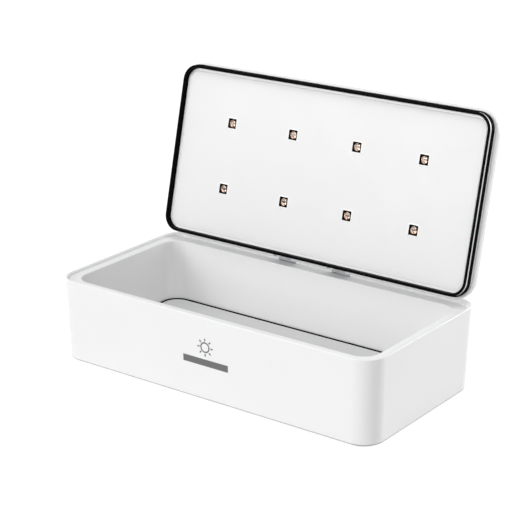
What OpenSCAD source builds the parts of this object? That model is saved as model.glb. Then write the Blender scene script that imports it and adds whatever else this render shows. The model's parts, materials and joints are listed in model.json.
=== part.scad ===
// Hinged sterilising box for small personal things, drawn with its lid open.
// The origin is the middle of its flat underside, and it stands on the plane z = 0.
// Lid pieces are drawn shut, on top of the base, and then turned about the hinge pins.

/* [Base] */
// Length of the base at its rim
base_w = 250; // [220:1:280]
// Depth of the base at its rim
base_d = 125.5; // [110:0.5:140]
// Height of the base casing from its lower edge to its rim
base_h = 56.5; // [50:0.5:75]
// Radius of the upright corners
corner_r = 14.5; // [10:0.5:20]
// How far each side leans in from the rim to the lower edge
lean = 1.6; // [0:0.1:3]
// Wall thickness of the casings
wall = 2; // [1.6:0.1:2.4]
// Width of the rim along the back, which carries the hinges
back_rim_w = 5.4; // [5.2:0.1:7]
// Round on the outer edge of the rim
rim_round = 0.8; // [0.4:0.1:1.2]

/* [Chamber] */
// Depth of the step from the rim down to the ledge
step_h = 1.8; // [1.4:0.1:3]
// Width of the ledge at the ends and along the front
ledge_w = 6.4; // [6.3:0.1:9]
// Width of the ledge along the back
back_ledge_w = 7.6; // [6:0.1:10]
// Radius of the upright corners of the chamber
chamber_r = 12; // [6:0.5:16]
// Wall thickness of the chamber liner
liner_t = 2; // [1.4:0.1:2.4]
// Height of the top of the floor panel above the underside
floor_h = 11.9; // [10:0.1:15]
// Thickness of the floor panel
floor_panel_t = 1.7; // [1:0.1:2.5]
// Width of the dark edging round the floor panel
floor_edging_w = 1; // [0.6:0.1:2]
// How far the edging stands above the floor panel
floor_edging_proud = 0.6; // [0.2:0.1:1.2]

/* [Underside] */
// How far the bottom cover stands out below the casing
stand = 1.2; // [0.6:0.1:1.6]
// Thickness of the bottom cover
cover_t = 3; // [2.6:0.1:4]
// Radius of a rubber pad
foot_r = 8; // [5:0.5:10]
// Thickness of a rubber pad, which lies flush in the bottom cover
foot_t = 1.2; // [0.6:0.1:1.4]
// Distance of a pad from the middle along the length
foot_x = 101; // [60:1:104]
// Distance of a pad from the middle along the depth
foot_y = 42; // [25:1:43]

/* [Lid] */
// Opening angle of the lid in the drawing
open_angle = 103.6; // [60:0.1:103.6]
// Height of the hinge pins above the lip of the shut seal
pin_above_lip = 8.2; // [8.2:0.1:9.5]
// Distance of the hinge pins from the back of the lid
pin_from_back = 5.05; // [5:0.05:6]
// How far the back of the lid stays in front of the back of the base
lid_back_gap = 3.4; // [3.2:0.1:5]
// Height of the lid's upright side above its lower edge
lid_side_h = 2.2; // [1.5:0.1:5]
// Round from the side to the top of the lid
lid_round = 6; // [5.5:0.1:8]
// Rise of the crowned top
crown_h = 1.8; // [0.5:0.1:4]
// Run of the crown, inwards from the round
crown_run = 45; // [30:1:50]

/* [Seal] */
// Height of the seal from its lip to its top
seal_h = 5.2; // [4.8:0.1:6]
// Width of the lip
lip_w = 1.9; // [1.2:0.1:2.5]
// Height of the lip
lip_h = 1.7; // [1.6:0.1:2.2]
// How far the upper bead stands out past the lip
bead_proud = 0.4; // [0.2:0.05:0.5]
// Gap between the shut lip and the ledge
seal_gap = 0.6; // [0.6:0.05:1]
// Side gap between the lip and the step, at the ends
end_gap = 0.9; // [0.6:0.1:1.5]
// Side gap between the lip and the step, front and back
side_gap = 0.2; // [0.15:0.05:0.5]
// Radius of the lip's corners
seal_r = 11; // [8:0.5:14]
// Distance from the top of the seal up to the lid's lower edge
rim_above_seal = 1; // [0.6:0.1:2]

/* [Lid panel] */
// Depth of the panel behind the lip
panel_recess = 3.4; // [2:0.1:3.6]
// Thickness of the frame that holds the panel
frame_t = 2; // [1.6:0.1:2.5]
// Width of that frame
frame_w = 10; // [9:0.5:14]

/* [Lamps] */
// Lamps in a row
lamp_count = 4; // [2:1:4]
// Distance between lamps in a row
lamp_pitch = 51.4; // [40:0.1:55]
// Distance of each row from the nearer edge of the lid
row_in = 38.15; // [36:0.05:45]
// Side of a square lamp frame
lamp_frame_w = 6.6; // [5.5:0.1:8]
// Radius of a lamp window
lens_r = 2.55; // [1.5:0.05:2.6]
// Side of a lamp body
lamp_body_w = 3.6; // [2:0.1:4]
// Height of a lamp body
lamp_body_h = 0.9; // [0.6:0.1:1.5]
// Width of a lamp board
lamp_board_w = 14; // [11:0.5:16]
// Thickness of the circuit boards
board_t = 1.6; // [1:0.1:2]

/* [Hinges] */
// Distance of a hinge from the middle
hinge_x = 22; // [20:1:50]
// Width of a hinge knuckle
knuckle_w = 14; // [8:0.5:18]
// Radius of a hinge knuckle
knuckle_r = 2.6; // [2.3:0.1:2.6]
// Radius of a hinge pin
pin_r = 1.25; // [1:0.05:1.3]
// Thickness of a hinge ear on the lid
ear_t = 3; // [2:0.1:5]
// Thickness of the bracket plate
bracket_t = 2.5; // [1.5:0.1:2.5]
// Height of the bracket below the ledge
bracket_drop = 14.5; // [13:0.5:20]

/* [Power button] */
// Radius of the button cap
button_r = 8; // [5:0.5:8.5]
// Travel of the button
button_travel = 0.7; // [0.3:0.1:0.8]
// Distance of the button from the front of the lid
button_from_front = 18.75; // [17:0.25:22]
// Width of the ring round the button
button_ring_w = 1.9; // [1.5:0.1:2.5]
// Distance of the indicator from the button's middle
indicator_x = 16; // [14.5:0.5:18]
// Radius of the indicator's light pipe
indicator_r = 1.2; // [0.8:0.1:1.5]

/* [Power inlet] */
// Width of the power socket
socket_w = 9; // [7:0.1:12]
// Height of the power socket
socket_h = 3.2; // [2.5:0.1:3.8]
// Height of the power socket's middle above the underside
socket_z = 15; // [13:0.5:21]

/* [Magnets] */
// Length of a magnet
magnet_w = 14; // [8:0.5:20]
// Depth of a magnet
magnet_d = 2.4; // [1.6:0.1:2.4]
// Height of a magnet
magnet_h = 2.4; // [1.5:0.1:3]
// Distance of a magnet from the middle
magnet_x = 84; // [76:1:95]

/* [Screws] */
// Shank radius of the small screws
screw_r = 1.1; // [0.8:0.05:1.2]
// Head radius of the small screws
screw_head_r = 2.1; // [1.7:0.1:2.2]
// Head height of the small screws
screw_head_h = 1.1; // [0.6:0.1:1.2]
// Shank radius of the cover screws
cover_screw_r = 1.4; // [1:0.1:1.6]
// Head radius of the cover screws
cover_screw_head_r = 2.7; // [2:0.1:3]

/* [Hidden] */
$fn = 64;
sliver = 0.01;
hull_fn = 40;
gap = 0.15;
moving_gap = 0.3;
running_gap = 0.05;
press_gap = 0.02;
through = 40;

// Base levels and plan sizes
rim_z = stand + base_h;
ledge_z = rim_z - step_h;
flange_z = ledge_z - liner_t;
shoulder_w = 1.2;
low_wall = wall + shoulder_w;
recess_w = base_w - 2*wall;
recess_front = -base_d/2 + wall;
recess_back = base_d/2 - back_rim_w;
recess_d = recess_back - recess_front;
recess_y = (recess_front + recess_back)/2;
recess_r = corner_r - wall;
chamber_w = recess_w - 2*ledge_w;
chamber_front = recess_front + ledge_w;
chamber_back = recess_back - back_ledge_w;
chamber_d = chamber_back - chamber_front;
chamber_y = (chamber_front + chamber_back)/2;
liner_floor_z = floor_h - floor_panel_t;
liner_under_z = liner_floor_z - liner_t;
ledge_round = 0.8;
magnet_front = -base_d/2 + low_wall + 2*gap;
sensor_w = 13;
sensor_h = 2.4;
rebate_w = base_w - 2*lean - 2*wall;
rebate_d = base_d - 2*lean - 2*wall;
function back_face(z) = base_d/2 - lean*(1 - (z - stand)/base_h);
function inner_back(z) = back_face(z) - low_wall;

// Seal and lid levels, shut
lip_z = ledge_z + seal_gap;
seal_top_z = lip_z + seal_h;
lid_edge_z = seal_top_z + rim_above_seal;
lid_round_z = lid_edge_z + lid_side_h;
lid_top_z = lid_round_z + lid_round;
panel_z = lip_z + panel_recess;
frame_top_z = seal_top_z + frame_t;
lip_out_w = recess_w - 2*end_gap;
lip_out_d = recess_d - 2*side_gap;
seal_y = recess_y;
lip_chamfer = 0.6;
foot_ring_w = 1.3;
foot_ring_h = 0.6;
lid_w = base_w;
lid_front = -base_d/2;
lid_back = base_d/2 - lid_back_gap;
lid_d = lid_back - lid_front;
lid_y = (lid_front + lid_back)/2;
lid_inner_back = lid_back - wall;
crown_steps = 5;
round_steps = 6;
pin_y = lid_back - pin_from_back;
pin_z = lip_z + pin_above_lip;

// Hinge brackets: a plate inside the back rim, an upright through it and an arm to the pin
upright_front = lid_inner_back + 0.55;
upright_back = upright_front + bracket_t;
plate_front = recess_back - bracket_t;
bracket_low_z = flange_z - bracket_drop;
jog_h = 2.3;
arm_low_z = pin_z - knuckle_r;
arm_top_z = pin_z - 0.6;
beam_end = 6;
beam_half_w = hinge_x + knuckle_w/2 + beam_end;
beam_low_z = bracket_low_z - 2;
notch_half_w = knuckle_w/2 + moving_gap;
notch_front = pin_y - 1.2;
bracket_screw_in = 3.5;
bracket_screw_pitch = 6;
bracket_screw_z = [for (i = [0, 1]) bracket_low_z + bracket_screw_in + i*bracket_screw_pitch];
bracket_screw_l = 5.4;
ear_r = knuckle_r + 0.2;
pin_half_l = knuckle_w/2 + moving_gap + ear_t;

// Screws through the bottom cover
cover_screw_gap = 2.8;
cover_screw_x = foot_x - foot_r - cover_screw_head_r - cover_screw_gap;
cover_screw_y = 0.3*base_d;
cover_screw_places = [for (x = [-cover_screw_x, 0, cover_screw_x])
    for (y = [-cover_screw_y, cover_screw_y]) [x, y]];
cover_screw_head_h = 1.4;
cover_post_r = cover_screw_r + 2;
feet_places = [for (x = [-foot_x, foot_x]) for (y = [-foot_y, foot_y]) [x, y]];

// Screws from the frame into the lid shell
frame_screw_in = 6;
frame_screw_places = concat(
    [for (x = [-1, 1]) for (y = [-0.3, 0.3]) [x*(lid_w/2 - wall - frame_screw_in), lid_y + y*lid_d]],
    [for (x = [-0.25, 0.25]) [x*lid_w, lid_front + wall + frame_screw_in - 1]],
    [for (x = [-0.32, 0.32]) [x*lid_w, lid_inner_back - frame_screw_in]]);
frame_screw_l = 6;
frame_boss_r = 3;

// Lamps, on two boards behind the panel
lamp_x0 = -(lamp_count - 1)*lamp_pitch/2;
row_pitch = lid_d - 2*row_in;
lamp_places = [for (s = [-1, 1]) for (i = [0:lamp_count - 1])
    [lamp_x0 + i*lamp_pitch, lid_y + s*row_pitch/2]];
lamp_frame_z = panel_z - 0.2;
lamp_flange_t = 0.5;
lamp_z = seal_top_z + lamp_flange_t;
lamp_board_z = lamp_z + lamp_body_h;
lamp_board_end = 17;
lamp_board_l = (lamp_count - 1)*lamp_pitch + 2*lamp_board_end;
lamp_board_screw_x = lamp_board_l/2 - 4;
lamp_board_screw_places = [for (s = [-1, 1]) for (x = [-lamp_board_screw_x, 0, lamp_board_screw_x])
    [x, lid_y + s*row_pitch/2]];
lamp_screw_bite = 2;
lens_t = 1.2;
lens_seat = 0.4;
lens_lip = 0.35;
lamp_bore_h = 6;

// Power button, its switch and its board
button_y = lid_front + button_from_front;
crown_in = button_from_front - lid_round;
button_face_z = lid_top_z + crown_h*(1 - pow(1 - crown_in/crown_run, 2));
ring_r = button_r + moving_gap + button_ring_w;
ring_proud = 0.5;
ring_flange_w = 0.8;
ring_flange_t = 1;
flange_in = button_from_front - ring_r - ring_flange_w - lid_round;
ring_seat_z = lid_top_z - wall + crown_h*(1 - pow(1 - max(flange_in, 0)/crown_run, 2));
ring_flange_z = ring_seat_z - gap - ring_flange_t;
ring_shoulder_z = ring_flange_z + ring_flange_t;
dish_r = 40;
dish_depth = 0.5;
button_flange_w = 1.2;
button_flange_t = 0.6;
button_flange_z = ring_shoulder_z - moving_gap - button_flange_t;
button_proud = 0.7;
switch_w = 6;
switch_h = 2;
plunger_r = 1.6;
plunger_in = 0.8;
switch_top_z = button_flange_z - button_travel - moving_gap;
button_board_top_z = switch_top_z - switch_h;
button_board_w = 44;
button_board_d = 12.4;
button_board_screw_x = button_board_w/2 - 3;
board_screw_bite = 2.6;

// Power board, upright in the space behind the chamber
board_w = 96;
board_h = 26;
board_low_z = cover_t + 2;
board_back = inner_back(0) - 2.2;
board_front = board_back - board_t;
board_screw_side = 5;
board_screw_x = board_w/2 - board_screw_side;
board_screw_in = 4;
chip_w = 9;
chip_t = 2.2;
chip_up = 5;
small_chip_w = 5;
small_chip_h = 3.2;
small_chip_t = 1.2;
small_chip_up = 8;
board_boss_r = 2.8;
board_screw_l = 5.2;
board_screw_places = [for (x = [-board_screw_x, board_screw_x])
    for (z = [board_low_z + board_screw_in, board_low_z + board_h - board_screw_in]) [x, z]];
socket_out = 0.3;
slot_gap = 0.3;

// Colours
white = [0.93, 0.93, 0.94];
inner_white = [0.88, 0.88, 0.89];
black = [0.03, 0.03, 0.035];
steel = [0.62, 0.63, 0.65];
board_green = [0.05, 0.28, 0.16];

// A flat rectangle with round corners
module rounded(w, d, r) {
    square([w, d - 2*r], center = true);
    square([w - 2*r, d], center = true);
    for (x = [-1, 1]) for (y = [-1, 1])
        translate([x*(w/2 - r), y*(d/2 - r)]) circle(r = r);
}

// An upright block with round corners between two heights
module slab(w, d, r, z0, z1, y = 0) {
    translate([0, y, z0]) linear_extrude(z1 - z0) rounded(w, d, r);
}

// A thin slice of such a block, as one step of a hull
module slice(w, d, r, z, y = 0) {
    translate([0, y, z]) linear_extrude(sliver) rounded(w, d, r, $fn = hull_fn);
}

// A closed band that follows a rounded rectangle
module band(w, d, r, t, z0, z1, y = 0) {
    difference() {
        slab(w, d, r, z0, z1, y);
        slab(w - 2*t, d - 2*t, r - t, z0 - 1, z1 + 1, y);
    }
}

// A cylinder that lies along the depth, from y0 back to y1
module rod_y(r, y0, y1) {
    translate([0, y1, 0]) rotate([90, 0, 0]) cylinder(r = r, h = y1 - y0);
}

// Turns a shut lid piece about the hinge pins to where the drawing shows it
module opened() {
    translate([0, pin_y, pin_z]) rotate([-open_angle, 0, 0])
        translate([0, -pin_y, -pin_z]) children();
}

// The outer form of the lid, or the form that lies inset inside it
module lid_form(inset) {
    r = lid_round - inset;
    hull() {
        slice(lid_w - 2*inset, lid_d - 2*inset, corner_r - inset,
            inset > 0 ? lid_edge_z - 1 : lid_edge_z, lid_y);
        for (i = [0:round_steps]) {
            a = 90*i/round_steps;
            in = inset + r*(1 - cos(a));
            slice(lid_w - 2*in, lid_d - 2*in, corner_r - in, lid_round_z + r*sin(a), lid_y);
        }
        for (i = [1:crown_steps]) {
            u = i/crown_steps;
            in = lid_round + crown_run*u;
            slice(lid_w - 2*in, lid_d - 2*in, corner_r - lid_round,
                lid_top_z - inset + crown_h*(1 - pow(1 - u, 2)), lid_y);
        }
    }
}

module base_shell() {
    color(white) difference() {
        union() {
            difference() {
                hull() {
                    slice(base_w - 2*lean - 2*rim_round, base_d - 2*lean - 2*rim_round,
                        corner_r - rim_round, stand);
                    slice(base_w - 2*lean, base_d - 2*lean, corner_r, stand + rim_round);
                    slice(base_w, base_d, corner_r, rim_z - rim_round);
                    slice(base_w - 0.6*rim_round, base_d - 0.6*rim_round, corner_r - 0.3*rim_round,
                        rim_z - 0.3*rim_round);
                    slice(base_w - 2*rim_round, base_d - 2*rim_round, corner_r - rim_round,
                        rim_z - sliver);
                }
                hull() {
                    slice(base_w - 2*lean - 2*low_wall, base_d - 2*lean - 2*low_wall,
                        corner_r - low_wall, cover_t - 1);
                    slice(base_w - 2*low_wall, base_d - 2*low_wall, corner_r - low_wall,
                        flange_z - sliver);
                }
            }
            translate([-beam_half_w, recess_back, beam_low_z])
                cube([2*beam_half_w, inner_back(beam_low_z) + 1 - recess_back,
                    flange_z - beam_low_z + sliver]);
            for (p = board_screw_places) translate([p[0], 0, p[1]])
                rod_y(board_boss_r, board_back, inner_back(p[1]) + 1);
        }
        slab(rebate_w, rebate_d, corner_r - wall, -1, cover_t);
        slab(recess_w, recess_d, recess_r, flange_z, rim_z + 1, recess_y);
        for (s = [-1, 1]) {
            translate([s*hinge_x - knuckle_w/2 - gap, plate_front - 5, flange_z - jog_h - 0.2])
                cube([knuckle_w + 2*gap, upright_back + gap - plate_front + 5, base_h]);
            for (z = bracket_screw_z) translate([s*hinge_x, 0, z])
                rod_y(screw_r + press_gap, plate_front - 2, plate_front + bracket_screw_l + 0.2);
        }
        for (p = board_screw_places) translate([p[0], 0, p[1]])
            rod_y(screw_r + press_gap, board_back - 1, board_front + board_screw_l + 0.2);
        translate([0, base_d/2 + 1, socket_z]) rotate([90, 0, 0])
            linear_extrude(base_d/2 + 1 - inner_back(socket_z) + 1)
                rounded(socket_w + 2*slot_gap, socket_h + 2*slot_gap, socket_h/2 + slot_gap - 0.1);
    }
}

module chamber_liner() {
    color(inner_white) difference() {
        union() {
            slab(recess_w - 2*gap, recess_d - 2*gap, recess_r - gap, flange_z, ledge_z, recess_y);
            slab(chamber_w + 2*liner_t, chamber_d + 2*liner_t, chamber_r + liner_t,
                liner_under_z, flange_z + sliver, chamber_y);
            for (p = cover_screw_places) translate([p[0], p[1], cover_t])
                cylinder(r = cover_post_r, h = liner_under_z - cover_t + sliver);
        }
        slab(chamber_w, chamber_d, chamber_r, liner_floor_z, rim_z, chamber_y);
        hull() {
            slice(chamber_w, chamber_d, chamber_r, ledge_z - ledge_round, chamber_y);
            slice(chamber_w + 0.6*ledge_round, chamber_d + 0.6*ledge_round,
                chamber_r + 0.3*ledge_round, ledge_z - 0.3*ledge_round, chamber_y);
            slice(chamber_w + 2*ledge_round, chamber_d + 2*ledge_round,
                chamber_r + ledge_round, ledge_z, chamber_y);
        }
        for (p = cover_screw_places) translate([p[0], p[1], cover_t - 1])
            cylinder(r = cover_screw_r + press_gap, h = liner_under_z - cover_t + 1);
    }
}

module floor_edging() {
    color(black) band(chamber_w - 2*gap, chamber_d - 2*gap, chamber_r - gap, floor_edging_w,
        liner_floor_z, floor_h + floor_edging_proud, chamber_y);
}

module floor_panel() {
    in = 2*(gap + floor_edging_w + 0.05);
    color(inner_white) slab(chamber_w - in, chamber_d - in, chamber_r - in/2,
        liner_floor_z, floor_h, chamber_y);
}

module bottom_cover() {
    color(white) difference() {
        slab(rebate_w - 2*gap, rebate_d - 2*gap, corner_r - wall - gap, 0, cover_t);
        for (p = feet_places) translate([p[0], p[1], -1])
            cylinder(r = foot_r + gap, h = foot_t + 1);
        for (p = cover_screw_places) translate([p[0], p[1], -1]) {
            cylinder(r = cover_screw_r + 0.2, h = cover_t + 2);
            cylinder(r = cover_screw_head_r + 0.2, h = cover_screw_head_h + 1);
        }
    }
}

module cover_screws() {
    color(steel) for (p = cover_screw_places) translate([p[0], p[1], 0]) difference() {
        union() {
            cylinder(r = cover_screw_head_r, h = cover_screw_head_h);
            cylinder(r = cover_screw_r, h = liner_under_z - 0.4);
        }
        translate([0, 0, -0.4]) cylinder(r = cover_screw_head_r/2, h = 1, $fn = 6);
    }
}

module feet() {
    color(black) for (p = feet_places) translate([p[0], p[1], 0]) cylinder(r = foot_r, h = foot_t);
}

module power_board() {
    color(board_green) difference() {
        union() {
            translate([-board_w/2, board_front, board_low_z]) cube([board_w, board_t, board_h]);
            translate([board_w/5, board_front - chip_t, board_low_z + chip_up])
                cube([chip_w, chip_t + sliver, chip_w]);
            for (i = [1:3])
                translate([-i*board_w/10, board_front - small_chip_t, board_low_z + small_chip_up])
                cube([small_chip_w, small_chip_t + sliver, small_chip_h]);
        }
        for (p = board_screw_places) translate([p[0], 0, p[1]])
            rod_y(screw_r + 0.15, board_front - 1, board_back + 1);
    }
}

// A small screw with its head in front, along the depth
module screw_y(x, z, y, l) {
    translate([x, 0, z]) difference() {
        union() {
            rod_y(screw_head_r, y - screw_head_h, y);
            rod_y(screw_r, y - 0.2, y + l);
        }
        rod_y(screw_head_r/2, y - screw_head_h - 1, y - screw_head_h + 0.5, $fn = 6);
    }
}

// A small upright screw whose head lies below the height z
module screw_up(x, y, z, l) {
    translate([x, y, z]) difference() {
        union() {
            translate([0, 0, -screw_head_h]) cylinder(r = screw_head_r, h = screw_head_h);
            translate([0, 0, -0.2]) cylinder(r = screw_r, h = l + 0.2);
        }
        translate([0, 0, -screw_head_h - 1]) cylinder(r = screw_head_r/2, h = 1.5, $fn = 6);
    }
}

module power_board_screws() {
    color(steel) for (p = board_screw_places) screw_y(p[0], p[1], board_front, board_screw_l);
}

module power_socket() {
    l = back_face(socket_z) - socket_out - board_back;
    color(steel) translate([0, board_back + l, socket_z]) rotate([90, 0, 0]) difference() {
        linear_extrude(l) rounded(socket_w, socket_h, socket_h/2 - 0.1);
        difference() {
            translate([0, 0, -1]) linear_extrude(l - 0.4)
                rounded(socket_w - 0.6, socket_h - 0.6, socket_h/2 - 0.4);
            translate([-socket_w/2 + 1.2, -0.35, 0.6]) cube([socket_w - 2.4, 0.7, l]);
        }
    }
}

module base_magnets() {
    color(steel) for (s = [-1, 1])
        translate([s*magnet_x - magnet_w/2, magnet_front, flange_z - magnet_h])
            cube([magnet_w, magnet_d, magnet_h]);
}

module lid_sensor() {
    color(black) translate([magnet_x - magnet_w/2 - sensor_w - 5, magnet_front, flange_z - sensor_h])
        cube([sensor_w, magnet_d, sensor_h]);
}

module hinge_brackets() {
    color(steel) for (s = [-1, 1]) difference() {
        translate([s*hinge_x - knuckle_w/2, 0, 0]) rotate([90, 0, 90]) linear_extrude(knuckle_w) {
            polygon([[plate_front, bracket_low_z], [recess_back, bracket_low_z],
                [recess_back, flange_z - jog_h], [upright_back, flange_z - jog_h],
                [upright_back, arm_top_z], [pin_y, arm_top_z], [pin_y, arm_low_z],
                [upright_front, arm_low_z], [upright_front, flange_z - 0.2],
                [plate_front, flange_z - 0.2]]);
            translate([pin_y, pin_z]) circle(r = knuckle_r);
        }
        translate([s*hinge_x - knuckle_w, pin_y, pin_z]) rotate([0, 90, 0])
            cylinder(r = pin_r + press_gap, h = 2*knuckle_w);
        for (z = bracket_screw_z) translate([s*hinge_x, 0, z])
            rod_y(screw_r + 0.15, plate_front - 1, recess_back + 1);
    }
}

module bracket_screws() {
    color(steel) for (s = [-1, 1]) for (z = bracket_screw_z)
        screw_y(s*hinge_x, z, plate_front, bracket_screw_l);
}

module hinge_pins() {
    color(steel) for (s = [-1, 1]) translate([s*hinge_x - pin_half_l, pin_y, pin_z])
        rotate([0, 90, 0]) cylinder(r = pin_r, h = 2*pin_half_l);
}

module lid_shell() {
    color(white) opened() difference() {
        union() {
            difference() {
                lid_form(0);
                lid_form(wall);
            }
            for (p = frame_screw_places) translate([p[0], p[1], frame_top_z])
                cylinder(r = frame_boss_r, h = lid_top_z - wall + 0.6 - frame_top_z);
            for (s = [-1, 1]) translate([s*button_board_screw_x, button_y, button_board_top_z])
                cylinder(r = frame_boss_r - 0.6, h = button_face_z - 1 - button_board_top_z);
        }
        for (s = [-1, 1]) translate([s*hinge_x - notch_half_w, notch_front, lid_edge_z - 2])
            cube([2*notch_half_w, lid_back - notch_front + 1, through]);
        for (p = frame_screw_places) translate([p[0], p[1], frame_top_z - 1])
            cylinder(r = screw_r + press_gap, h = frame_screw_l - frame_t + 1.4);
        for (s = [-1, 1]) translate([s*button_board_screw_x, button_y, button_board_top_z - 1])
            cylinder(r = screw_r + press_gap, h = board_screw_bite + 1.4);
        translate([0, button_y, lid_edge_z]) cylinder(r = ring_r + gap, h = through);
        translate([indicator_x, button_y, lid_edge_z]) cylinder(r = indicator_r + 0.1, h = through);
    }
}

module lid_frame() {
    color(white) opened() difference() {
        union() {
            band(lid_w - 2*wall - 2*gap, lid_d - 2*wall - 2*gap, corner_r - wall - gap, frame_w,
                seal_top_z, frame_top_z, lid_y);
            for (s = [-1, 1]) for (e = [-1, 1])
                translate([s*hinge_x + e*(notch_half_w + ear_t/2) - ear_t/2, 0, 0])
                    rotate([90, 0, 90]) linear_extrude(ear_t) {
                        translate([pin_y - ear_r, frame_top_z - 1])
                            square([2*ear_r, pin_z - frame_top_z + 1]);
                        translate([pin_y, pin_z]) circle(r = ear_r);
                    }
        }
        for (s = [-1, 1]) {
            translate([s*hinge_x - notch_half_w, pin_y - knuckle_r - 0.5, seal_top_z - 1])
                cube([2*notch_half_w, through, frame_t + 2]);
            translate([s*hinge_x - pin_half_l - moving_gap, pin_y, pin_z]) rotate([0, 90, 0])
                cylinder(r = pin_r + running_gap, h = 2*pin_half_l + 2*moving_gap);
            translate([s*magnet_x - magnet_w/2 - gap, magnet_front - gap, seal_top_z - 1])
                cube([magnet_w + 2*gap, magnet_d + 2*gap, frame_t + 2]);
        }
        for (p = frame_screw_places) translate([p[0], p[1], seal_top_z - 1]) {
            cylinder(r = screw_r + 0.2, h = frame_t + 2);
            cylinder(r = screw_head_r + 0.15, h = screw_head_h + 1);
        }
    }
}

module lid_frame_screws() {
    color(steel) opened() for (p = frame_screw_places)
        screw_up(p[0], p[1], seal_top_z + screw_head_h, frame_screw_l - screw_head_h);
}

module lid_seal() {
    color(black) opened() difference() {
        union() {
            hull() {
                slice(lip_out_w - 2*lip_chamfer, lip_out_d - 2*lip_chamfer, seal_r - lip_chamfer,
                    lip_z, seal_y);
                slice(lip_out_w, lip_out_d, seal_r, lip_z + lip_chamfer, seal_y);
                slice(lip_out_w, lip_out_d, seal_r, lip_z + lip_h, seal_y);
            }
            slab(lip_out_w + 2*bead_proud, lip_out_d + 2*bead_proud, seal_r + bead_proud,
                lip_z + lip_h, seal_top_z, seal_y);
        }
        slab(lip_out_w - 2*lip_w, lip_out_d - 2*lip_w, seal_r - lip_w, lip_z - 1,
            seal_top_z - foot_ring_h, seal_y);
        slab(lip_out_w - 2*lip_w - 2*foot_ring_w, lip_out_d - 2*lip_w - 2*foot_ring_w,
            seal_r - lip_w - foot_ring_w, lip_z, seal_top_z + 1, seal_y);
    }
}

module lid_panel() {
    w = lip_out_w - 2*lip_w - 2*gap;
    d = lip_out_d - 2*lip_w - 2*gap;
    r = seal_r - lip_w - gap;
    hole_w = lamp_frame_w + 0.2;
    color(white) opened() difference() {
        union() {
            slab(w, d, r, panel_z, seal_top_z - foot_ring_h - 0.05, seal_y);
            slab(w - 2*foot_ring_w, d - 2*foot_ring_w, r - foot_ring_w, panel_z, seal_top_z, seal_y);
            for (p = lamp_board_screw_places) translate([p[0], p[1], seal_top_z - sliver])
                cylinder(r = screw_r + 1.5, h = lamp_board_z - seal_top_z + sliver);
        }
        for (p = lamp_places) translate([p[0] - hole_w/2, p[1] - hole_w/2, panel_z - 1])
            cube([hole_w, hole_w, through]);
        for (p = lamp_board_screw_places) translate([p[0], p[1], lamp_board_z - lamp_screw_bite - 0.2])
            cylinder(r = screw_r + press_gap, h = through);
    }
}

module lid_magnets() {
    color(steel) opened() for (s = [-1, 1])
        translate([s*magnet_x - magnet_w/2, magnet_front, seal_top_z])
            cube([magnet_w, magnet_d, magnet_h]);
}

module lamp_boards() {
    color([0.85, 0.86, 0.88]) opened() difference() {
        for (s = [-1, 1])
            translate([-lamp_board_l/2, lid_y + s*row_pitch/2 - lamp_board_w/2, lamp_board_z])
                cube([lamp_board_l, lamp_board_w, board_t]);
        for (p = lamp_board_screw_places) translate([p[0], p[1], lamp_board_z - 1])
            cylinder(r = screw_r + 0.15, h = board_t + 2);
    }
}

module lamp_board_screws() {
    color(steel) opened() for (p = lamp_board_screw_places)
        translate([0, 0, 2*(lamp_board_z + board_t)]) mirror([0, 0, 1])
            screw_up(p[0], p[1], lamp_board_z + board_t, board_t + lamp_screw_bite);
}

module lamps() {
    color([0.72, 0.45, 0.3]) opened() for (p = lamp_places) translate([p[0], p[1], lamp_z]) {
        translate([-lamp_body_w/2, -lamp_body_w/2, 0]) cube([lamp_body_w, lamp_body_w, lamp_body_h]);
        translate([0, 0, -0.4]) cylinder(r = lamp_body_w/2 - 0.4, h = 0.5);
    }
}

module lamp_frames() {
    color(black) opened() for (p = lamp_places) translate([p[0], p[1], 0]) difference() {
        union() {
            translate([-lamp_frame_w/2, -lamp_frame_w/2, lamp_frame_z])
                cube([lamp_frame_w, lamp_frame_w, seal_top_z - lamp_frame_z + sliver]);
            translate([-lamp_frame_w/2 - 0.8, -lamp_frame_w/2 - 0.8, seal_top_z])
                cube([lamp_frame_w + 1.6, lamp_frame_w + 1.6, lamp_flange_t]);
        }
        translate([0, 0, lamp_frame_z - 1]) cylinder(r = lens_r + 0.05, h = lens_seat + lens_t + 1);
        translate([0, 0, lamp_frame_z]) cylinder(r = lens_r - lens_lip, h = lamp_bore_h);
    }
}

module lamp_windows() {
    color([0.8, 0.6, 0.45, 0.6]) opened() for (p = lamp_places)
        translate([p[0], p[1], lamp_frame_z + lens_seat]) cylinder(r = lens_r, h = lens_t);
}

module button_ring() {
    color(steel) opened() translate([0, button_y, 0]) difference() {
        union() {
            translate([0, 0, ring_flange_z]) cylinder(r = ring_r, h = button_face_z + ring_proud - ring_flange_z);
            translate([0, 0, ring_flange_z]) cylinder(r = ring_r + ring_flange_w, h = ring_flange_t);
        }
        translate([0, 0, ring_flange_z - 1]) cylinder(r = button_r + moving_gap, h = through);
        translate([0, 0, ring_flange_z - 1])
            cylinder(r = button_r + button_flange_w + moving_gap, h = ring_flange_t + 1);
    }
}

module power_button() {
    color(white) opened() translate([0, button_y, 0]) difference() {
        union() {
            translate([0, 0, button_flange_z])
                cylinder(r = button_r, h = button_face_z + button_proud - button_flange_z);
            translate([0, 0, button_flange_z]) cylinder(r = button_r + button_flange_w, h = button_flange_t);
        }
        translate([0, 0, button_face_z + button_proud + dish_r - dish_depth]) sphere(r = dish_r);
    }
}

module switch_plunger() {
    color(black) opened() translate([0, button_y, switch_top_z - plunger_in])
        cylinder(r = plunger_r, h = button_flange_z - switch_top_z + plunger_in);
}

module switch_body() {
    color(black) opened() translate([0, button_y, button_board_top_z]) difference() {
        translate([-switch_w/2, -switch_w/2, 0]) cube([switch_w, switch_w, switch_h]);
        translate([0, 0, switch_h - plunger_in - button_travel - 0.2])
            cylinder(r = plunger_r + gap, h = through);
    }
}

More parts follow.
